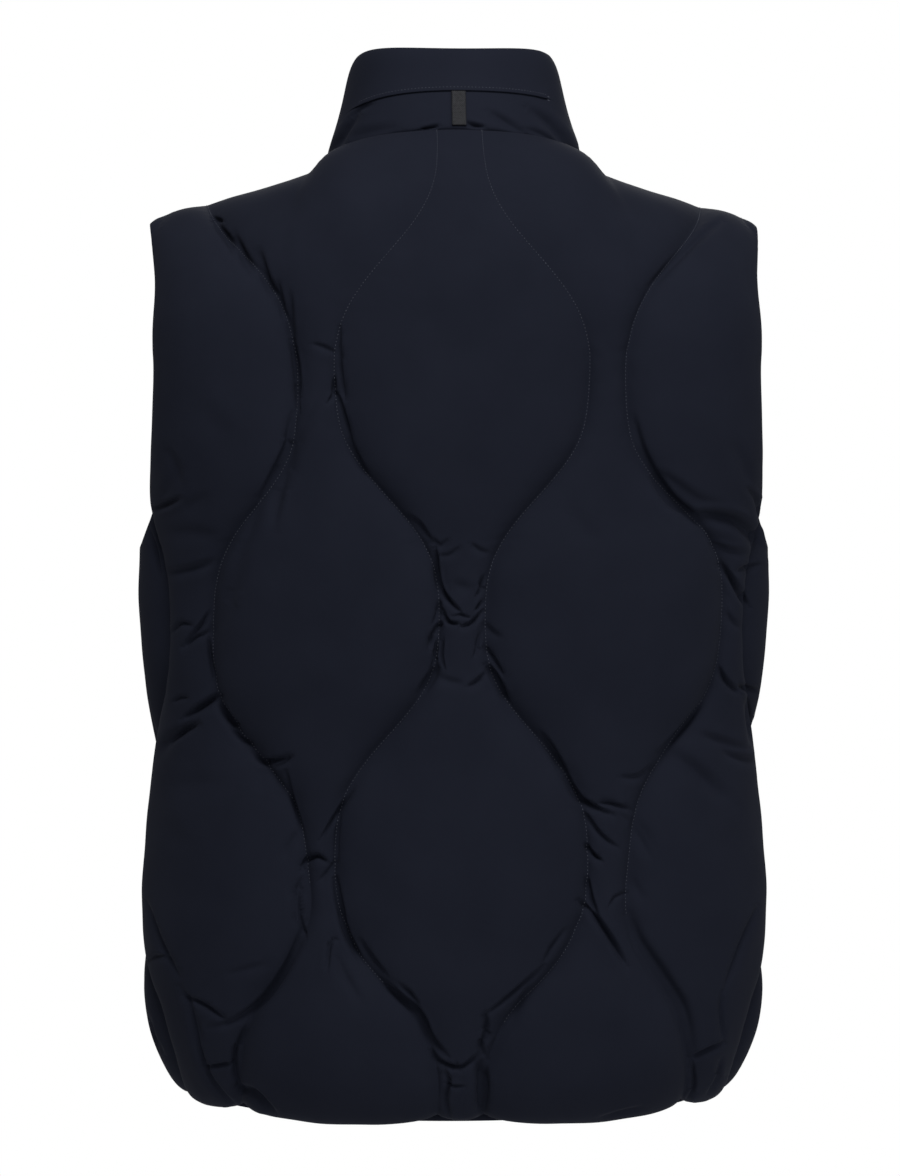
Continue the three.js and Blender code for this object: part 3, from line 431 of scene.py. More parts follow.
# Creases that the photograph shows. Each row has its depth and width in millimetres, and then the places
# that it passes, across and down in the photograph's 900 by 1176 pixels.
creases = (
    # The waist of the middle column.
    (5, 1.3, (435, 548), (441, 588), (461, 613)),
    (2, 0.9, (453, 616), (461, 615), (471, 618)),
    (4, 1.1, (442, 609), (448, 621), (459, 624)),
    (4, 1.1, (460, 627), (472, 622), (483, 610)),
    (3, 1.1, (484, 576), (481, 588), (477, 596)),
    (3, 1.0, (482, 601), (476, 610)),
    (2, 1.4, (441, 600), (438, 612), (433, 626)),
    (4, 1.4, (443, 621), (435, 631), (430, 650)),
    (3, 1.0, (437, 640), (436, 655), (432, 666)),
    (3, 0.9, (443, 640), (442, 655), (444, 668)),
    (4, 2.2, (439, 664), (431, 676), (420, 692)),
    (1.5, 2.0, (484, 624), (492, 632), (502, 638)),
    (3, 1.4, (485, 647), (493, 658), (503, 676)),
    (5, 1.7, (487, 664), (498, 681), (507, 700)),
    (3, 1.5, (486, 673), (477, 681), (468, 687)),
    (1.5, 2.2, (437, 677), (450, 681), (464, 684)),
    (2, 1.2, (481, 632), (478, 645), (474, 658)),
    (1.5, 1.6, (432, 538), (440, 545), (449, 539)),
    (1.5, 1.5, (439, 556), (450, 554), (460, 547)),
    (1.5, 1.6, (471, 544), (480, 550), (489, 553)),
    (1.5, 3.5, (452, 584), (463, 587), (472, 590)),
    # The upper left waist.
    (3, 1.0, (340, 326), (340, 360), (345, 400)),
    (3.5, 1.3, (337, 393), (346, 422), (352, 446)),
    (2, 1.6, (350, 440), (358, 458), (368, 476)),
    (2.5, 1.0, (335, 378), (334, 392), (328, 403)),
    (1.5, 1.5, (312, 344), (324, 347), (335, 353)),
    (2, 1.8, (290, 292), (291, 320), (293, 345)),
    (3.5, 1.6, (292, 340), (297, 366), (299, 396)),
    (2.5, 1.0, (297, 384), (298, 398), (299, 412)),
    (3.5, 1.8, (293, 414), (288, 440), (277, 466), (261, 496)),
    (1.8, 3.0, (322, 401), (304, 428), (284, 468), (272, 527)),
    (2, 3.0, (262, 500), (249, 532), (236, 562), (215, 628)),
    (2.5, 1.6, (408, 516), (419, 524), (431, 541)),
    # The left shoulder.
    (2.5, 1.3, (213, 218), (223, 221)),
    (3, 1.8, (215, 222), (228, 238), (236, 256)),
    (3, 2.2, (234, 234), (244, 255), (257, 278)),
    (3, 2.2, (259, 250), (266, 276), (277, 299)),
    (2, 1.6, (278, 282), (281, 300), (285, 322)),
    # The left side.
    (3.5, 1.6, (150, 508), (164, 504), (180, 497)),
    (3, 1.3, (149, 528), (156, 552), (161, 577)),
    (2.5, 2.2, (166, 573), (188, 569), (214, 561)),
    (3, 1.3, (209, 612), (202, 623), (183, 646)),
    (3, 1.2, (208, 632), (196, 637), (184, 647)),
    (3, 1.1, (209, 638), (212, 662), (216, 680)),
    (3.5, 1.3, (221, 694), (201, 705), (182, 719)),
    (3.5, 1.6, (198, 723), (183, 729), (166, 743)),
    (4.5, 1.7, (220, 701), (228, 715), (239, 727)),
    (3, 1.3, (233, 729), (243, 738), (253, 744)),
    (4, 1.5, (254, 752), (266, 761), (292, 756)),
    (2, 1.2, (274, 768), (284, 763), (290, 757)),
    (2.5, 1.3, (172, 632), (180, 623), (192, 625)),
    (2, 1.2, (172, 702), (180, 697), (188, 698)),
    # The lower left waist.
    (3, 1.0, (286, 770), (292, 795), (303, 832)),
    (4.5, 1.4, (302, 870), (306, 860), (317, 856), (328, 862)),
    (3, 1.1, (353, 789), (340, 808), (320, 840)),
    (2, 1.0, (341, 810), (338, 835), (337, 862)),
    (2, 1.8, (298, 832), (289, 845), (283, 860)),
    (1.5, 1.5, (338, 858), (328, 872), (318, 882)),
    (2.5, 1.0, (303, 876), (296, 892), (295, 925)),
    (3, 1.0, (301, 884), (300, 910), (306, 937)),
    (5, 1.5, (336, 878), (341, 905), (347, 932), (362, 962)),
    (3, 1.6, (360, 940), (372, 958), (386, 975)),
    (1.8, 1.2, (341, 940), (331, 942), (327, 972)),
    (1.5, 3.0, (335, 952), (345, 975), (361, 1003)),
    (4, 1.8, (302, 930), (285, 968), (262, 1000), (234, 1020), (210, 1027)),
    (3, 1.3, (183, 995), (203, 1004), (226, 1020)),
    (1.2, 2.0, (224, 975), (246, 969), (268, 963)),
    # The lower left corner.
    (3, 1.4, (146, 900), (160, 940), (179, 977)),
    (3.5, 1.5, (180, 985), (190, 1005), (198, 1045), (212, 1080), (238, 1109)),
    (2, 1.2, (197, 1016), (202, 1042)),
    (3, 1.2, (203, 1067), (219, 1065), (236, 1062)),
    (3.5, 1.4, (245, 1028), (237, 1048), (236, 1070), (241, 1088)),
    (5, 2.0, (238, 1086), (255, 1093), (277, 1117)),
    (2, 1.2, (146, 962), (155, 956), (167, 957)),
    (3, 1.5, (148, 1016), (153, 1036), (163, 1054)),
    # The foot of the middle column.
    (4.5, 1.7, (386, 984), (406, 1001), (421, 1015), (431, 1037), (446, 1055)),
    (2.5, 1.4, (399, 984), (410, 993), (419, 1006)),
    (4, 1.3, (431, 1050), (440, 1061), (460, 1067), (479, 1054)),
    (4, 1.6, (485, 1012), (487, 1028), (482, 1046), (487, 1058)),
    (6, 2.6, (480, 1058), (484, 1085), (482, 1116)),
    (3, 1.2, (484, 1016), (510, 995), (545, 965)),
    (2.5, 1.1, (544, 962), (552, 946), (565, 929)),
    (3, 1.4, (444, 1068), (449, 1081), (446, 1100), (451, 1120)),
    (2, 1.0, (445, 1083), (454, 1086), (464, 1086)),
    (1.5, 2.0, (531, 983), (521, 1000), (509, 1024)),
    # The lower right waist.
    (3.5, 2.0, (540, 733), (552, 750), (566, 775)),
    (5, 1.6, (564, 774), (579, 797), (597, 808), (612, 814)),
    (3.5, 1.2, (597, 803), (614, 804), (630, 809)),
    (3, 1.4, (585, 813), (595, 828), (606, 839), (619, 848)),
    (4, 1.2, (586, 844), (592, 853), (602, 861)),
    (3.5, 1.4, (587, 878), (591, 898), (599, 918)),
    (5, 1.5, (579, 900), (596, 917), (612, 939), (627, 966)),
    (3, 1.4, (701, 704), (681, 729), (659, 752)),
    (2, 1.5, (620, 777), (638, 776), (652, 766)),
    (1.5, 2.0, (634, 828), (644, 845), (653, 862)),
    (3, 3.2, (630, 915), (640, 940), (664, 975), (685, 1010), (693, 1052)),
    (2, 1.0, (609, 908), (615, 897), (627, 892)),
    # The right side.
    (2.5, 2.2, (633, 415), (643, 450), (662, 487)),
    (5, 2.6, (655, 478), (672, 500), (694, 516)),
    (4.5, 2.8, (690, 517), (716, 516), (742, 522), (764, 549)),
    (5, 1.6, (721, 564), (735, 583), (748, 606)),
    (2.5, 2.0, (712, 544), (729, 550), (746, 553)),
    (2.5, 1.4, (737, 571), (749, 566), (762, 564)),
    (2, 2.0, (726, 612), (733, 622), (741, 628)),
    (4, 1.5, (718, 666), (727, 681), (740, 693)),
    (3.5, 1.4, (738, 685), (749, 688), (760, 691)),
    (3, 1.4, (747, 700), (750, 722), (753, 747)),
    (3, 1.4, (749, 488), (758, 500), (763, 524)),
    (2.5, 2.6, (698, 733), (722, 741), (748, 749)),
    (3, 2.2, (722, 751), (738, 757), (758, 761)),
    (2.5, 4.0, (668, 752), (692, 767), (728, 800)),
    (2.5, 2.0, (722, 220), (702, 234), (678, 257), (651, 285)),
    # The lower right corner.
    (3, 1.5, (758, 905), (741, 945), (724, 990)),
    (2.5, 1.3, (723, 990), (722, 1015), (724, 1042)),
    (3.5, 1.3, (691, 1058), (708, 1050), (725, 1042)),
    (2.5, 1.3, (692, 1062), (694, 1087), (684, 1104)),
    (2.5, 1.4, (722, 1058), (718, 1078), (707, 1096)),
    (2, 1.6, (598, 1119), (620, 1113), (642, 1107)),
    # Broad soft folds down the left.
    (3.0, 2.4, (220, 694), (205, 704), (190, 714)),
    (2.6, 3.0, (197, 724), (181, 731), (169, 738), (158, 757)),
    (1.0, 5.5, (160, 788), (190, 784), (224, 779)),
    (1.2, 5.5, (164, 818), (174, 834), (186, 848)),
    (1.0, 4.0, (263, 768), (262, 780), (260, 794)),
    (0.9, 5.0, (332, 862), (324, 876), (316, 884)),
    (1.2, 3.0, (160, 508), (168, 486), (176, 462)),
    (1.4, 2.6, (166, 447), (176, 466), (181, 488)),
    (1.3, 4.0, (166, 534), (190, 532), (218, 536)),
    (1.2, 4.0, (182, 510), (196, 502), (208, 494)),
    (1.6, 3.0, (296, 446), (288, 470), (279, 500), (273, 530)),
    (1.4, 3.2, (247, 556), (236, 586), (228, 612), (216, 632)),
    (1.1, 6.0, (200, 402), (216, 424), (230, 436)),
    # And down the right.
    (1.6, 4.6, (670, 751), (690, 761), (712, 781), (732, 804)),
    (1.2, 3.0, (636, 820), (648, 838), (656, 856)),
    (1.2, 3.0, (630, 877), (638, 890), (645, 902)),
    (0.9, 6.0, (716, 852), (727, 838), (738, 824)),
    (0.9, 2.2, (616, 809), (624, 817), (629, 825)),
    (1.8, 3.4, (652, 470), (676, 484), (700, 500), (724, 504)),
    (2.2, 4.0, (690, 520), (716, 515), (740, 524), (762, 542)),
    (1.0, 4.0, (620, 430), (632, 452), (644, 478), (654, 498)),
    (1.2, 5.0, (566, 500), (578, 520), (596, 542)),
    (1.6, 3.2, (736, 440), (744, 462), (752, 486)),
)


# A pixel in millimetres, and how much wider than its number a crease is below its line and above it.
pixel, wider_below, wider_above = 0.65, 1.5, 0.85
# Creases wider than these need no finer cloth, in the first round and the second.
broad_crease, fine_crease = 4.5, 1.7
deepest, least_cloth = 7, 0.8
# Which cloth counts as shown, by how far it faces the photograph or faces away, and the hidden share.
faces_it, faces_away, hidden_share, fades_by_zip = 0.12, -0.3, 0.7, 16 * MM


def creased(obj, table, rounds=2):
    """Makes the outer cloth finer along each crease, and then presses the creases in. The side away from
    the photograph gets the same creases, as if it were seen from its own side."""
    lines = [(depth, width, curve_through(stops)) for depth, width, *stops in table]
    bm = bmesh.new()
    bm.from_mesh(obj.data)
    outer, thick = bm.verts.layers.float["outer"], bm.verts.layers.float["thick"]

    def shown():
        bm.normal_update()
        verts = [v for v in bm.verts if v[outer] > 0.99 and (
            v.normal.y > faces_it or v.normal.y < faces_away and abs(v.co.x) > fades_by_zip)]
        return verts, seen_at(np.array([(v.co.x, abs(v.co.y), v.co.z) for v in verts]))

    def close(places, line, reach):
        low, high = line.min(axis=0) - reach, line.max(axis=0) + reach
        return np.where(((places > low) & (places < high)).all(axis=1))[0]

    for again in range(rounds):
        verts, places = shown()
        near = np.zeros(len(verts), bool)
        for depth, width, line in lines:
            if width > (fine_crease if again else broad_crease):
                continue
            reach = width * (1.6 if again else 2.5) / pixel + 1
            among = close(places, line, reach)
            if len(among):
                near[among[nearest_on(line, places[among])[0] < reach]] = True
        chosen = {v for v, take in zip(verts, near) if take}
        edges = [e for e in bm.edges if e.verts[0] in chosen and e.verts[1] in chosen]
        made = bmesh.ops.subdivide_edges(bm, edges=edges, cuts=1, use_grid_fill=True)
        fresh = [v for v in made["geom_inner"] if isinstance(v, bmesh.types.BMVert)]
        for _ in range(2):
            bmesh.ops.smooth_vert(bm, verts=fresh, factor=0.5,
                                  use_axis_x=True, use_axis_y=True, use_axis_z=True)
    verts, places = shown()
    push = np.zeros(len(verts))
    for depth, width, line in lines:
        reach = width * 4.5 / pixel
        among = close(places, line, reach)
        if not len(among):
            continue
        gap, along, below = nearest_on(line, places[among])
        gap = gap * pixel / (width * np.where(below, wider_below, wider_above))
        fade = np.sin(np.pi * np.clip(along, 0.02, 0.98)) ** 0.6
        push[among] += depth * fade * (np.exp(-gap ** 2) - 0.12 * np.exp(-((gap - 2.3) / 1.0) ** 2))
    push *= [1 if v.normal.y > 0 else hidden_share * min(
        1, (faces_away - v.normal.y) / 0.3, abs(v.co.x) / fades_by_zip - 1) for v in verts]
    moves = [(v, v.normal * -min(much, v[thick] - least_cloth, deepest) * MM)
             for v, much in zip(verts, push) if abs(much) > 0.01]
    for v, move in moves:
        v.co += move
    bmesh.ops.recalc_face_normals(bm, faces=bm.faces)
    for f in bm.faces:
        f.smooth = True
    bm.to_mesh(obj.data)
    bm.free()
    return obj


back = panel_cells("back")
back_piece = creased(smoothed(wall_mesh("quilted_back", back)), creases)


def new_material(name):
    material = bpy.data.materials.new(name)
    material.use_nodes = True
    return material, material.node_tree, material.node_tree.nodes["Principled BSDF"]


def feed(tree, node, sockets):
    """Sets a node's sockets, or joins them to the outputs given."""
    for socket, value in sockets.items():
        if isinstance(value, bpy.types.NodeSocket):
            tree.links.new(value, node.inputs[socket])
        else:
            node.inputs[socket].default_value = value


def add(tree, kind, sockets, output=0, **settings):
    """Adds a node, and gives one of its outputs."""
    node = tree.nodes.new("ShaderNode" + kind)
    for setting, value in settings.items():
        setattr(node, setting, value)
    feed(tree, node, sockets)
    return node.outputs[output]


def toned(tree, measure, low, dark, high, pale):
    """A colour that runs from dark to pale as a measure goes from low to high."""
    node = tree.nodes.new("ShaderNodeValToRGB")
    tree.links.new(measure, node.inputs["Fac"])
    for stop, position, colour in zip(node.color_ramp.elements, (low, high), (dark, pale)):
        stop.position, stop.color = position, (*colour, 1)
    return node.outputs["Color"]


def navy_cloth():
    """Matt navy nylon: a fine plain weave, a soft sheen, and slight unevenness."""
    material, tree, shader = new_material("navy_nylon")
    on_cloth = add(tree, "UVMap", {}, uv_map="cloth")
    place = add(tree, "TexCoord", {}, "Object")
    cloud = add(tree, "TexNoise", {"Scale": 22, "Detail": 4, "Vector": place}, "Fac")
    crinkle = add(tree, "TexNoise", {"Scale": 42, "Detail": 2, "Vector": place}, "Fac")
    warp, weft = (add(tree, "TexWave", {"Scale": 700, "Vector": on_cloth}, "Fac", bands_direction=axis)
                  for axis in "XY")
    woven = add(tree, "Math", {0: warp, 1: weft}, operation="MULTIPLY")
    crinkled = add(tree, "Bump", {"Strength": 0.35, "Distance": 0.0007, "Height": crinkle})
    feed(tree, shader, {
        "Base Color": toned(tree, cloud, 0.3, (0.0092, 0.0110, 0.0194), 0.72, (0.0109, 0.0129, 0.0222)),
        "Roughness": 0.86, "Specular IOR Level": 0.08,
        "Sheen Weight": 0.012, "Sheen Roughness": 0.45, "Sheen Tint": (0.55, 0.6, 0.85, 1),
        "Normal": add(tree, "Bump", {"Strength": 0.08, "Distance": 0.00005, "Height": woven,
                                     "Normal": crinkled})})
    return material


navy_nylon = navy_cloth()
back_piece.data.materials.append(navy_nylon)
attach(back_piece, "vest")
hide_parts("back_panel")
quilted = [("back", "back", back, back_piece)]

# The two front panels.
# Cut from the same quilted cloth as the back, one a mirror of the other. Each is sewn to a zip tape
# along its straight front edge, and to the back at the side and the shoulder.
for name, node, mirror in (("quilted_front_left", "front_panel_left", False),
                           ("quilted_front_right", "front_panel_right", True)):
    front = panel_cells("front", mirror)
    front_piece = creased(smoothed(wall_mesh(name, front)), creases, rounds=1)
    front_piece.data.materials.append(navy_nylon)
    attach(front_piece, "vest")
    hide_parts(node)
    quilted.append((name, "front", front, front_piece))

# The collar.
# A padded stand of the same cloth, sewn to the neck. Across the back a tuck is stitched down, so that
# the upper band laps over a flatter lower one; a bar tack ends the tuck on the wearer's right.
def collar_place(angle, height):
    """The lining's surface on the collar, by its angle from the centre back and its height, 0 to 1."""
    low, high = ring_point(neck_seam, angle), ring_point(collar_top, angle)
    h = np.asarray(height)[..., None]
    round_out = np.stack([np.sin(angle), np.cos(angle), np.zeros_like(angle)], axis=-1)
    sideways = np.stack([-np.cos(angle), np.sin(angle), np.zeros_like(angle)], axis=-1)
    outward = unit(np.cross(sideways, high - low))
    point = mix(low, high, h) - round_out * 3 * np.sin(np.pi * h)
    outward = unit(mix(outward, neck_direction(angle), np.maximum(0, 1 - h * 4)))
    return point, outward


collar_end = math.pi - math.asin(front_edge / neck_seam["half_width"])
collar_angles = np.linspace(-collar_end, collar_end, 131)
tuck_step, tuck_height = 1.1, 0.475
# Rows up the collar: how far towards the tuck or on from it, a nudge in height, and the share of the step.
collar_rows = (
    [(t, 0, 0) for t in np.linspace(-1, -0.12, 13)] + [(-0.05, 0, 0), (0, 0.012, -0.3), (0, 0.01, 0.1)]
    + [(0, -0.016, 0.55), (0, -0.012, 0.95), (0, 0.012, 1), (0.06, 0, 1)]
    + [(t, 0, 1) for t in np.linspace(0.13, 1, 14)])


def tuck_at(turned):
    """The tuck's height on the collar, by degrees from the centre back."""
    return tuck_height - 0.07 * np.clip(turned / 58, 0, 1.2) ** 2


def collar_cells():
    t, nudge, step = (column[:, None] for column in np.array(collar_rows).T)
    angle = np.broadcast_to(collar_angles, (len(collar_rows), len(collar_angles)))
    turned = np.degrees(angle)
    tuck = tuck_at(turned)
    held = np.clip((64 - turned) / 12, 0, 1) * np.clip((turned + 53) / 4, 0, 1)
    height = tuck * (1 + np.minimum(t, 0)) + (1 - tuck) * np.maximum(t, 0) + nudge * held
    point, outward = collar_place(angle, height)
    tall = np.linalg.norm(ring_point(collar_top, angle) - ring_point(neck_seam, angle), axis=-1)
    from_front = (collar_end - np.abs(angle)) * mix(83, 64, height)
    share = fills(from_front, edge_reach) * fills(np.minimum(height, 1 - height) * tall, 7)
    flat = 0.65 * held * (1 - step) * np.clip(height / 0.2, 0, 1)
    seamed = loft * seam_loft * 0.4 * np.maximum(0, 1 - height / 0.12)
    lap = tuck_step * 0.55 * held * np.maximum(step, 0) * np.exp(-np.maximum(t, 0) * 5)
    padding = 2.2 + 4.4 * share + lap - flat + seamed + 0.6 * np.minimum(step, 0) * held
    point[..., 2] += 1.2 * np.clip(t, 0, 1)
    return {"point": point, "outward": outward, "padding": padding,
            "sag": 0 * angle, "across": turned * 1.3, "up": height * 58}


collar_creases = (
    (1.4, 1.2, (374, 103), (360, 109), (350, 118)),
    (3.5, 1.8, (358, 113), (344, 131), (328, 158)),
    (1.5, 3.0, (398, 127), (372, 131), (348, 139)),
    (2.5, 2.2, (489, 111), (506, 121), (526, 134)),
    (1.8, 1.8, (526, 128), (542, 134), (558, 144)),
    (3.5, 2.6, (528, 107), (551, 123), (570, 146), (584, 165)),
    (3, 1.4, (420, 130), (430, 128), (439, 125)),
    (3, 1.4, (466, 122), (475, 125), (485, 127)),
)
collar_piece = creased(smoothed(wall_mesh("stand_collar", collar_cells())), collar_creases)
collar_piece.data.materials.append(navy_nylon)
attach(collar_piece, "vest")
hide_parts("collar")

# The stitches.
# Polyester thread, coloured a shade lighter than the cloth as a painted highlight, sewn through the padding
# along every row, and along the collar's tuck. Each stitch shows for about half of its length before it dips
# back in.
stitch_pitch, stitch_radius, stitch_length = 2.3, 0.26, 1.05


def thread_material():
    """Twisted polyester thread, a greyer navy than the cloth, and lighter: that lightness is a painted
    highlight.
    """
    material, tree, shader = new_material("sewing_thread")
    place = add(tree, "TexCoord", {}, "Object")
    uneven = add(tree, "TexNoise", {"Scale": 900, "Vector": place}, "Fac")
    # The thread's paler colour is a painted highlight, standing in for the light that the stitches catch.
    feed(tree, shader, {
        "Base Color": toned(tree, uneven, 0.35, (0.035, 0.040, 0.058), 0.65, (0.085, 0.092, 0.118)),
        "Roughness": 0.5, "Specular IOR Level": 0.35,
        "Normal": add(tree, "Bump", {"Strength": 0.4, "Distance": 0.00008, "Height": uneven})})
    return material


sewing_thread = thread_material()
bm = bmesh.new()
bmesh.ops.create_uvsphere(bm, u_segments=5, v_segments=3, radius=1)
for f in bm.faces:
    f.smooth = True
one_stitch = bpy.data.meshes.new("one_stitch")
bm.to_mesh(one_stitch)
bm.free()


def repeated(name, shape, places):
    """Copies of one small shape as one piece."""
    bm = bmesh.new()
    for place in places:
        copy = shape.copy()
        copy.transform(place)
        bm.from_mesh(copy)
        bpy.data.meshes.remove(copy)
    return as_object(name, bm)


def stitches_along(line, directions, surface, tallest=4, proud=0.06):
    """Places for stitches along a line on the cloth, laid on it where folds haven't moved it far."""
    stops = np.arange(stitch_pitch, walked_along(line)[-1] - 1, stitch_pitch)
    at = along_line(line, line, stops)
    out = unit(along_line(line, directions, stops))
    found = []
    for here, ahead, up in zip(at, np.gradient(at, axis=0), out):
        start = Vector((here + up * tallest) * MM)
        hit, normal, _, _ = surface.ray_cast(start, Vector(-up), (tallest + 6) * MM)
        if hit is None:
            continue
        normal = normal if normal.dot(Vector(up)) > 0 else -normal
        along = Vector(ahead).normalized()
        side = along.cross(normal).normalized()
        normal = side.cross(along)
        turned = Matrix((side, along, normal)).transposed().to_4x4()
        size = Matrix.Diagonal((stitch_radius * MM, stitch_length / 2 * MM, stitch_radius * MM, 1))
        found.append(Matrix.Translation(hit + normal * proud * MM) @ turned @ size)
    return found


def row_lines(side, cell):
    """Each row of stitches as it runs up a panel, where it is clear of the side and the armhole, and
    above the folds that cover the back's rows lower down."""
    outside = outer_cloth(cell)
    numbers = [-3, -2, -1, 1, 2, 3] if side == "back" else [1, 2, 3]
    folds = {2: -345, -2: -370, 1: -405, -1: -432} if side == "back" else {}
    for number, column in zip(numbers, cell["stitches"]):
        wanted = stitch_row(abs(number), cell["up"][:, column], np.sign(number) * (side == "back"))
        runs = (np.abs(np.abs(cell["across"][:, column]) - wanted) < 1.5) & (cell["to_side"][:, column] > 2)
        runs &= (cell["to_hem"][:, column] > 26) & (cell["up"][:, column] > folds.get(number, -999))
        runs[:3] = False
        for piece in np.split(np.arange(len(runs)), np.where(np.diff(runs.astype(int)))[0] + 1):
            if runs[piece[0]] and len(piece) > 3:
                yield outside[piece, column], cell["outward"][piece, column]


def bvh_of(obj):
    bm = bmesh.new()
    bm.from_mesh(obj.data)
    tree = BVHTree.FromBMesh(bm)
    bm.free()
    return tree


collar_cloth = bvh_of(collar_piece)
turned = np.linspace(-51, 56, 60)
point, outward = collar_place(np.radians(turned), tuck_at(turned) + 0.028)
places = stitches_along(point + outward * 6, outward, collar_cloth, proud=-0.12)
for tack in (-52.2, -51.7, -51.2):
    point, outward = collar_place(np.full(9, math.radians(tack)), tuck_height + np.linspace(-0.05, 0.06, 9))
    places += stitches_along(point + outward * 6, outward, collar_cloth, proud=-0.1)
for name, side, cell, obj in quilted:
    cloth = bvh_of(obj)
    for line, directions in row_lines(side, cell):
        places += stitches_along(line, directions, cloth)
thread = repeated("row_stitches", one_stitch, places)
thread.data.materials.append(sewing_thread)
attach(thread, "vest")

# The hanger loop.
# Ribbed tape sewn down the middle of the collar's lower band, from the tuck to the neck seam.
def strip(name, line, outward, aside, across, low, high, steps=6, ribs=None):
    """A band of tape or cloth along a line: how far it reaches to each side, and how far out it lies."""
    reach = np.linspace(across[0], across[1], steps + 1)[:, None]
    walked = walked_along(line)
    shape = (steps + 1, len(line))
    padding = np.full(shape, float(high))
    if ribs:
        padding -= ribs[0] * (0.5 - 0.5 * np.cos(2 * np.pi * walked / ribs[1])) * np.ones(shape)
    return wall_mesh(name, {
        "point": line + aside * reach[..., None], "outward": np.broadcast_to(outward, shape + (3,)),
        "padding": padding, "sag": np.zeros(shape),
        "across": np.broadcast_to(walked, shape), "up": np.broadcast_to(reach, shape)}, behind=-low)


def tape_material():
    """Woven polyester tape: a fine twill, with a little lint on it."""
    material, tree, shader = new_material("dark_woven_tape")
    on_cloth = add(tree, "UVMap", {}, uv_map="cloth")
    twill = add(tree, "TexWave", {"Scale": 420, "Distortion": 0.6, "Detail": 1, "Vector": on_cloth}, "Fac",
                bands_direction="DIAGONAL")
    lint = add(tree, "TexNoise", {"Scale": 520, "Detail": 5, "Vector": on_cloth}, "Fac")
    both = add(tree, "Math", {0: twill, 1: 0.45, 2: lint}, operation="MULTIPLY_ADD")
    feed(tree, shader, {
        "Base Color": toned(tree, both, 0.62, (0.003, 0.0035, 0.005), 0.86, (0.027, 0.028, 0.033)),
        "Roughness": 0.7, "Specular IOR Level": 0.25,
        "Normal": add(tree, "Bump", {"Strength": 0.5, "Distance": 0.00015, "Height": both})})
    return material


woven_tape = tape_material()
middle = len(collar_angles) // 2
cell = collar_cells()
line = cell["point"][:, middle] + cell["outward"][:, middle] * cell["padding"][:, middle, None]
lower = line[1:14]
stops = np.linspace(0, walked_along(lower)[-1], 81)
line = along_line(lower, lower, stops)
outward = unit(along_line(lower, cell["outward"][1:14, middle], stops))
loop_half, loop_under, loop_over, loop_ribs = 4.6, 0.35, 1.5, (0.35, 1.15)
loop = strip("ribbed_hanger_loop", line, outward, np.array([1.0, 0, 0]), (-loop_half, loop_half),
             loop_under, loop_over, 10, loop_ribs)
loop.data.materials.append(woven_tape)
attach(loop, "vest")
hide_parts("hanger_loop")

# The band inside the hem.
# The same cloth, folded double and sewn inside the hem, over the panels' turned edges.
front_half, back_half = half_panel("front"), half_panel("back")
mirror_x = np.array([-1, 1, 1])
front_hem, back_hem = front_half["point"][0, ::4], back_half["point"][0, ::4]
front_hem = front_hem[front_hem[:, 0] > 17]
line = np.concatenate([front_hem * mirror_x, back_hem[-2::-1] * mirror_x, back_hem[1:], front_hem[-2::-1]])
along = np.gradient(line, axis=0)
outward = unit(np.stack([-along[:, 1], along[:, 0], 0 * along[:, 0]], axis=-1))
hem_length = walked_along(line)[-1]
hem_band = strip("hem_facing", line, outward, np.array([0, 0, 1.0]), (-21, 5), -4.2, -2.4, 8)
hem_band.data.materials.append(navy_nylon)
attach(hem_band, "vest")
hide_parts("hem_band")


# The zip.
# Two woven tapes sewn behind the front edges, plastic teeth that meet between them, a box where they
# start and a metal slider near the top. The teeth are moulded on to each tape by turns.
zip_foot, teeth_behind = -609, 2.6


def up_the_front(x):
    """The lining's surface beside the zip, from just above the hem's fold to the collar's top edge."""
    point, outward = front_half["point"], front_half["outward"]
    fold = int(point[:60, 0, 2].argmin())
    rows = [j for j in range(fold, len(point)) if point[j, 0, 2] > zip_foot][:-1:3]
    places = []
    for j in rows:
        sample = np.interp(x, point[j, :, 0], np.arange(samples + 1))
        i, t = int(sample), sample % 1
        places.append((mix(point[j, i], point[j, i + 1], t), unit(mix(outward[j, i], outward[j, i + 1], t))))
    for height in np.linspace(0, 1, 8):
        angle = math.pi - math.asin(x / mix(neck_seam["half_width"], collar_top["half_width"], height))
        places.append(collar_place(np.array(angle), np.array(height)))
    line, outward = (np.array(column) for column in zip(*places))
    return line, outward


tape_middle, tape_half, tape_behind, tape_thickness = 8.1, 6.9, 2.3, 0.8
for name, side in (("left", 1), ("right", -1)):
    line, outward = up_the_front(tape_middle)
    stops = np.arange(0, walked_along(line)[-1] - 3, 4.0)
    outward = unit(along_line(line, outward, stops)) * [side, 1, 1]
    line = along_line(line, line, stops) * [side, 1, 1]
    aside = unit(np.cross(np.gradient(line, axis=0), outward) * [1, 1, 0])
    tape = strip(f"zip_tape_{name}_cloth", line, outward, aside, (-tape_half, tape_half),
                 -tape_behind - tape_thickness, -tape_behind, 4)
    tape.data.materials.append(woven_tape)
    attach(tape, "vest")
    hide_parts(f"zip_tape_{name}")

zip_line, _ = up_the_front(front_edge)
zip_line = zip_line * [0, 1, 1]
slider_below_top = 14
slider_distance = walked_along(zip_line)[-1] - slider_below_top


def on_zip(distance):
    """The place and the turn of something on the zip: across, inwards and up the zip."""
    here, below, above = along_line(zip_line, zip_line, np.array([distance, distance - 3, distance + 3]))
    up = unit(above - below)
    inward = np.array([0, up[2], -up[1]])
    turned = Matrix(((1, 0, 0), inward, up)).transposed().to_4x4()
    return Matrix.Translation((here + inward * teeth_behind) * MM) @ turned


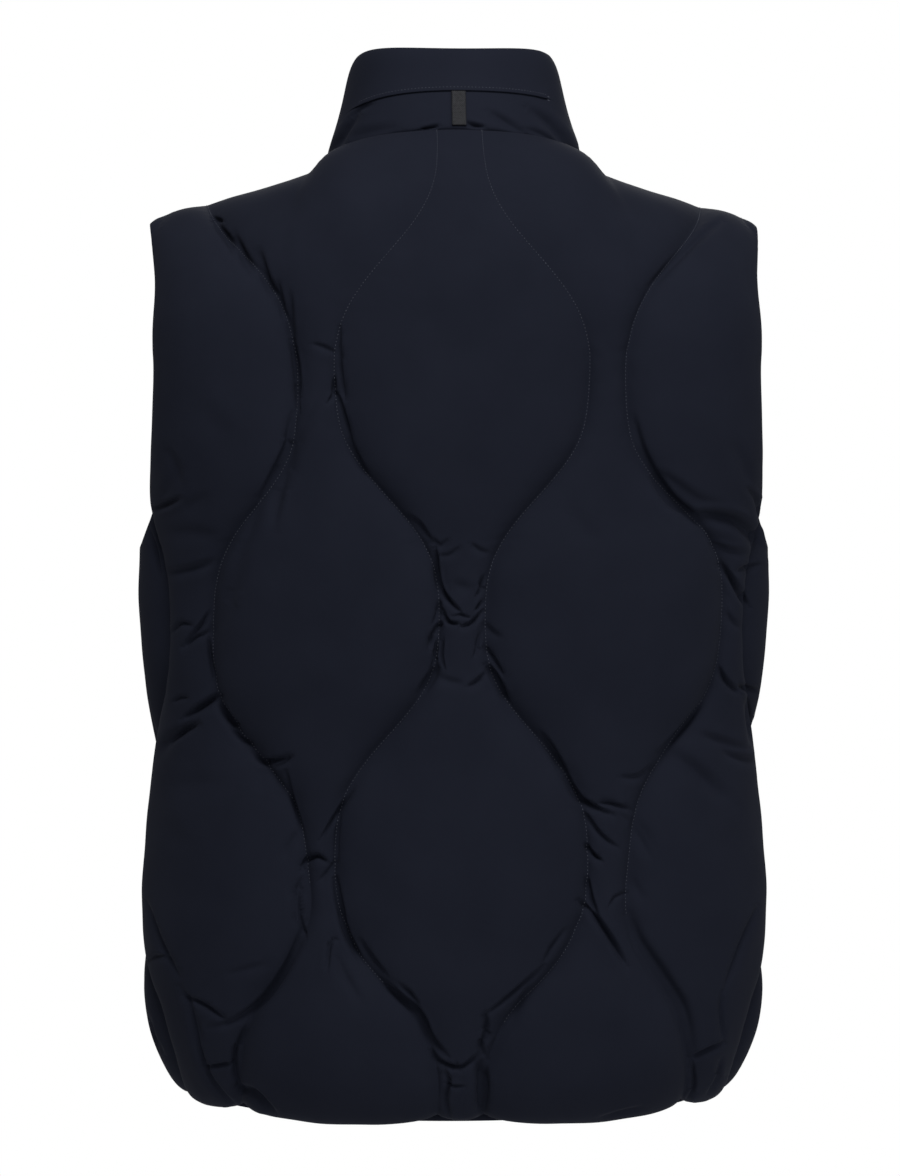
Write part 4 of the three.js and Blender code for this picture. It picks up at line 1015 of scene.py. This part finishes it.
def dark_material(name, colour, roughness, metal, bumps, depth, worn):
    """Dark plastic or lacquered metal, a little uneven, and paler where it is rubbed."""
    material, tree, shader = new_material(name)
    place = add(tree, "TexCoord", {}, "Object")
    uneven = add(tree, "TexNoise", {"Scale": bumps, "Detail": 4, "Vector": place}, "Fac")
    feed(tree, shader, {
        "Base Color": toned(tree, uneven, 0.3, colour, 0.8, [c * worn for c in colour]), "Metallic": metal,
        "Roughness": add(tree, "MapRange", {"Value": uneven, "To Min": roughness - 0.08,
                                            "To Max": roughness + 0.1}),
        "Normal": add(tree, "Bump", {"Strength": 0.3, "Distance": depth, "Height": uneven})})
    return material


def softened(bm, edges, offset, segments):
    return bmesh.ops.bevel(bm, geom=list(edges), affect="EDGES", offset=offset, segments=segments,
                           profile=0.5, material=-1)


def parted(bm, place, direction):
    """Gives a shape a new ring of edges where a plane cuts it."""
    bmesh.ops.bisect_plane(bm, geom=bm.verts[:] + bm.edges[:] + bm.faces[:], plane_co=place,
                           plane_no=direction)


def cube(bm, size, middle):
    made = bmesh.ops.create_cube(bm, size=1)["verts"]
    bmesh.ops.scale(bm, vec=size, verts=made)
    bmesh.ops.translate(bm, vec=middle, verts=made)
    return made


def tooth_shape():
    """One tooth: a head that meets its neighbours in the middle, and a neck to the tape's edge."""
    bm = bmesh.new()
    cube(bm, (4.5, 2.4, 1.16), (1.45, 0, 0))
    parted(bm, (1.1, 0, 0), (1, 0, 0))
    bmesh.ops.scale(bm, vec=(1, 0.8, 0.8), verts=[v for v in bm.verts if v.co.x > 1])
    softened(bm, bm.edges, 0.22, 1)
    bmesh.ops.scale(bm, vec=(MM, MM, MM), verts=bm.verts)
    bmesh.ops.recalc_face_normals(bm, faces=bm.faces)
    mesh = bpy.data.meshes.new("one_tooth")
    bm.to_mesh(mesh)
    bm.free()
    return mesh


tooth_pitch, first_tooth, last_tooth = 1.32, 8.6, slider_distance - 2.9
half_turn = Matrix.Rotation(math.pi, 4, "Y")
distances = np.arange(first_tooth, last_tooth, tooth_pitch)
teeth = repeated("zip_teeth_row", tooth_shape(), [
    on_zip(distance) @ (half_turn if k % 2 else Matrix()) for k, distance in enumerate(distances)])
dark_plastic = dark_material("dark_moulded_plastic", (0.020, 0.021, 0.026), 0.42, 0, 700, 0.00006, 1.5)
teeth.data.materials.append(dark_plastic)
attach(teeth, "vest")
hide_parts("zip_teeth")


def block(bm, size, middle, edge, narrow=1):
    """A block with rounded corners, seen from the front, and softened edges. Only one that lies on the
    zip's middle line can be narrower at its foot."""
    made = cube(bm, size, middle)
    bmesh.ops.scale(bm, vec=(narrow, 1, 1), verts=[v for v in made if v.co.z < middle[2]])
    edges = {e for v in made for e in v.link_edges}
    upright = [e for e in edges if abs(e.verts[0].co.y - e.verts[1].co.y) > 0.1]
    made = softened(bm, upright, edge, 4)
    rims = {e for f in made["faces"] for e in f.edges if abs(e.verts[0].co.y - e.verts[1].co.y) < 0.01}
    softened(bm, rims, min(edge, 0.28), 2)


def cylinder(bm, radius, length, turned_about, segments, middle):
    """A cylinder that lies across, or that points forwards."""
    made = bmesh.ops.create_cone(bm, cap_ends=True, segments=segments, radius1=radius, radius2=radius,
                                 depth=length)["verts"]
    bmesh.ops.rotate(bm, cent=(0, 0, 0), matrix=Matrix.Rotation(math.pi / 2, 3, turned_about), verts=made)
    bmesh.ops.translate(bm, vec=middle, verts=made)


def small_piece(name, bm, place):
    """Finishes a small hard piece and sets it on the zip."""
    bmesh.ops.recalc_face_normals(bm, faces=bm.faces)
    bmesh.ops.scale(bm, vec=(MM, MM, MM), verts=bm.verts)
    bmesh.ops.transform(bm, matrix=place, verts=bm.verts)
    for f in bm.faces:
        f.smooth = True
    obj = as_object(name, bm)
    obj.data.set_sharp_from_angle(angle=math.radians(35))
    return obj


bm = bmesh.new()
block(bm, (8.2, 3.4, 11), (0, 0, 0), 0.9)
zip_box = small_piece("zip_bottom_box", bm, on_zip(5))
zip_box.data.materials.append(dark_plastic)
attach(zip_box, "vest")
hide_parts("zip_box")

# The slider and its pull tab.
# Die-cast metal under dark lacquer: a plate before and behind the teeth, a post between them, and a bar
# held by two ears. The tab's eye is closed round the bar, so the tab hangs and swings.
slot, plate = 3.2, 1.3
slider_front = -slot / 2 - plate
bar_out, bar_up, bar_radius = 2.35, 2.6, 0.8
bar_y = slider_front - bar_out
bm = bmesh.new()
for side in (-1, 1):
    block(bm, (8.4, plate, 11), (0, side * (slot + plate) / 2, 0), 2.2, 0.82)
block(bm, (2, slot + 0.4, 2.4), (0, 0, 4.3), 0.6)
for side in (-1, 1):
    block(bm, (1.1, 3.9, 3), (side * 2.55, slider_front + 0.3 - 1.95, bar_up), 0.3)
cylinder(bm, bar_radius, 5.4, "Y", 20, (0, bar_y, bar_up))
slider_piece = small_piece("cast_slider", bm, on_zip(slider_distance))
dark_metal = dark_material("dark_lacquered_metal", (0.028, 0.029, 0.034), 0.34, 0.7, 260, 0.00003, 1.7)
slider_piece.data.materials.append(dark_metal)
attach(slider_piece, "vest")
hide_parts("slider")

tab_length, tab_half, tab_neck, tab_shoulder, tab_thickness, tab_hole = 27, 3.2, 1.5, 6, 1.4, 1.4
eye_inner, eye_outer, eye_width = 1.1, 2.1, 3.4
bm = bmesh.new()
tab_top = -eye_inner - 0.3
tab_y = eye_outer - tab_thickness / 2
cube(bm, (2 * tab_half, tab_thickness, tab_length + tab_top), (0, tab_y, (tab_top - tab_length) / 2))
parted(bm, (0, 0, -tab_shoulder), (0, 0, 1))
bmesh.ops.scale(bm, vec=(tab_neck / tab_half, 1, 1), verts=[v for v in bm.verts if v.co.z > tab_top - 0.1])
upright = [e for e in bm.edges if abs(e.verts[0].co.y - e.verts[1].co.y) > 1]
softened(bm, [e for e in upright if e.verts[0].co.z < 1 - tab_length], tab_half - 0.01, 10)
to_bar = on_zip(slider_distance) @ Matrix.Translation((0, bar_y * MM, bar_up * MM))
tab = small_piece("swinging_pull_tab", bm, to_bar)
bm = bmesh.new()
cylinder(bm, tab_hole, 6, "X", 28, (0, tab_y, tab_half - tab_length + 0.6))
drill = small_piece("drill", bm, to_bar)
cut = tab.modifiers.new("hole", "BOOLEAN")
cut.object, cut.operation, cut.solver = drill, "DIFFERENCE", "EXACT"
finished(tab)
bpy.data.objects.remove(drill)
soften = tab.modifiers.new("softened", "BEVEL")
soften.width, soften.segments = 0.25 * MM, 3
soften.limit_method, soften.angle_limit = "ANGLE", math.radians(50)
finished(tab)
bm = bmesh.new()
bmesh.ops.create_circle(bm, segments=16, radius=0.5)
bmesh.ops.scale(bm, vec=(eye_width, eye_outer - eye_inner, 1), verts=bm.verts)
bmesh.ops.translate(bm, vec=(0, (eye_outer + eye_inner) / 2, 0), verts=bm.verts)
bmesh.ops.spin(bm, geom=bm.edges[:], cent=(0, 0, 0), axis=(1, 0, 0), angle=2 * math.pi, steps=32,
               use_merge=True)
eye = small_piece("eye", bm, to_bar)
bm = bmesh.new()
for piece in (tab, eye):
    bm.from_mesh(piece.data)
bm.to_mesh(tab.data)
bm.free()
bpy.data.objects.remove(eye)
tab.data.materials.clear()
tab.data.materials.append(dark_metal)
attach(tab, "pull_tab")
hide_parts("pull_tab")

# The floor, the lights and the camera.
# A plain pale studio. The camera stands 2.6 m behind the vest, level with its middle, a little to the
# wearer's left.
bm = bmesh.new()
bmesh.ops.create_circle(bm, cap_ends=True, segments=64, radius=3.5, matrix=Matrix.Translation((0, 0, -1.4)))
floor = as_object("studio_floor", bm)
pale, tree, shader = new_material("pale_floor")
feed(tree, shader, {"Base Color": (0.93, 0.93, 0.93, 1), "Roughness": 0.8})
floor.data.materials.append(pale)

world = bpy.data.worlds.new("studio")
bpy.context.scene.world = world
world.use_nodes = True
tree = world.node_tree
white = (1, 1, 1, 1)
feed(tree, tree.nodes["Background"], {"Color": white, "Strength": 0.27})
feed(tree, tree.nodes["World Output"], {"Surface": add(tree, "MixShader", {
    0: add(tree, "LightPath", {}, "Is Camera Ray"), 1: tree.nodes["Background"].outputs["Background"],
    2: add(tree, "Background", {"Color": white})})})
bpy.context.scene.view_settings.view_transform = "Standard"


def soft_light(name, place, aim, size, power):
    data = bpy.data.lights.new(name, "AREA")
    data.shape, data.size, data.energy = "DISK", size, power
    light = bpy.data.objects.new(name, data)
    bpy.context.scene.collection.objects.link(light)
    light.location = place
    light.rotation_euler = (Vector(aim) - Vector(place)).to_track_quat("-Z", "Y").to_euler()


soft_light("key_light", (0.05, 1.45, 1.75), (0, 0, -0.25), 1.1, 38)
soft_light("fill_light", (-1.6, 2.2, 0.8), (0, 0, -0.3), 1.8, 18)
soft_light("front_light", (-0.3, -2.4, 0.9), (0, 0, -0.3), 1.6, 22)

camera_data = bpy.data.cameras.new("camera")
camera = bpy.data.objects.new("camera", camera_data)
bpy.context.scene.collection.objects.link(camera)
camera.location = view_place
camera.rotation_euler = (math.pi / 2, 0, math.pi - view_turn)
camera_data.sensor_width = 36
camera_data.lens = 36 * view_distance / (photo_height * view_scale)
camera_data.shift_x = -off_middle / photo_height
camera_data.clip_end = 20
bpy.context.scene.camera = camera
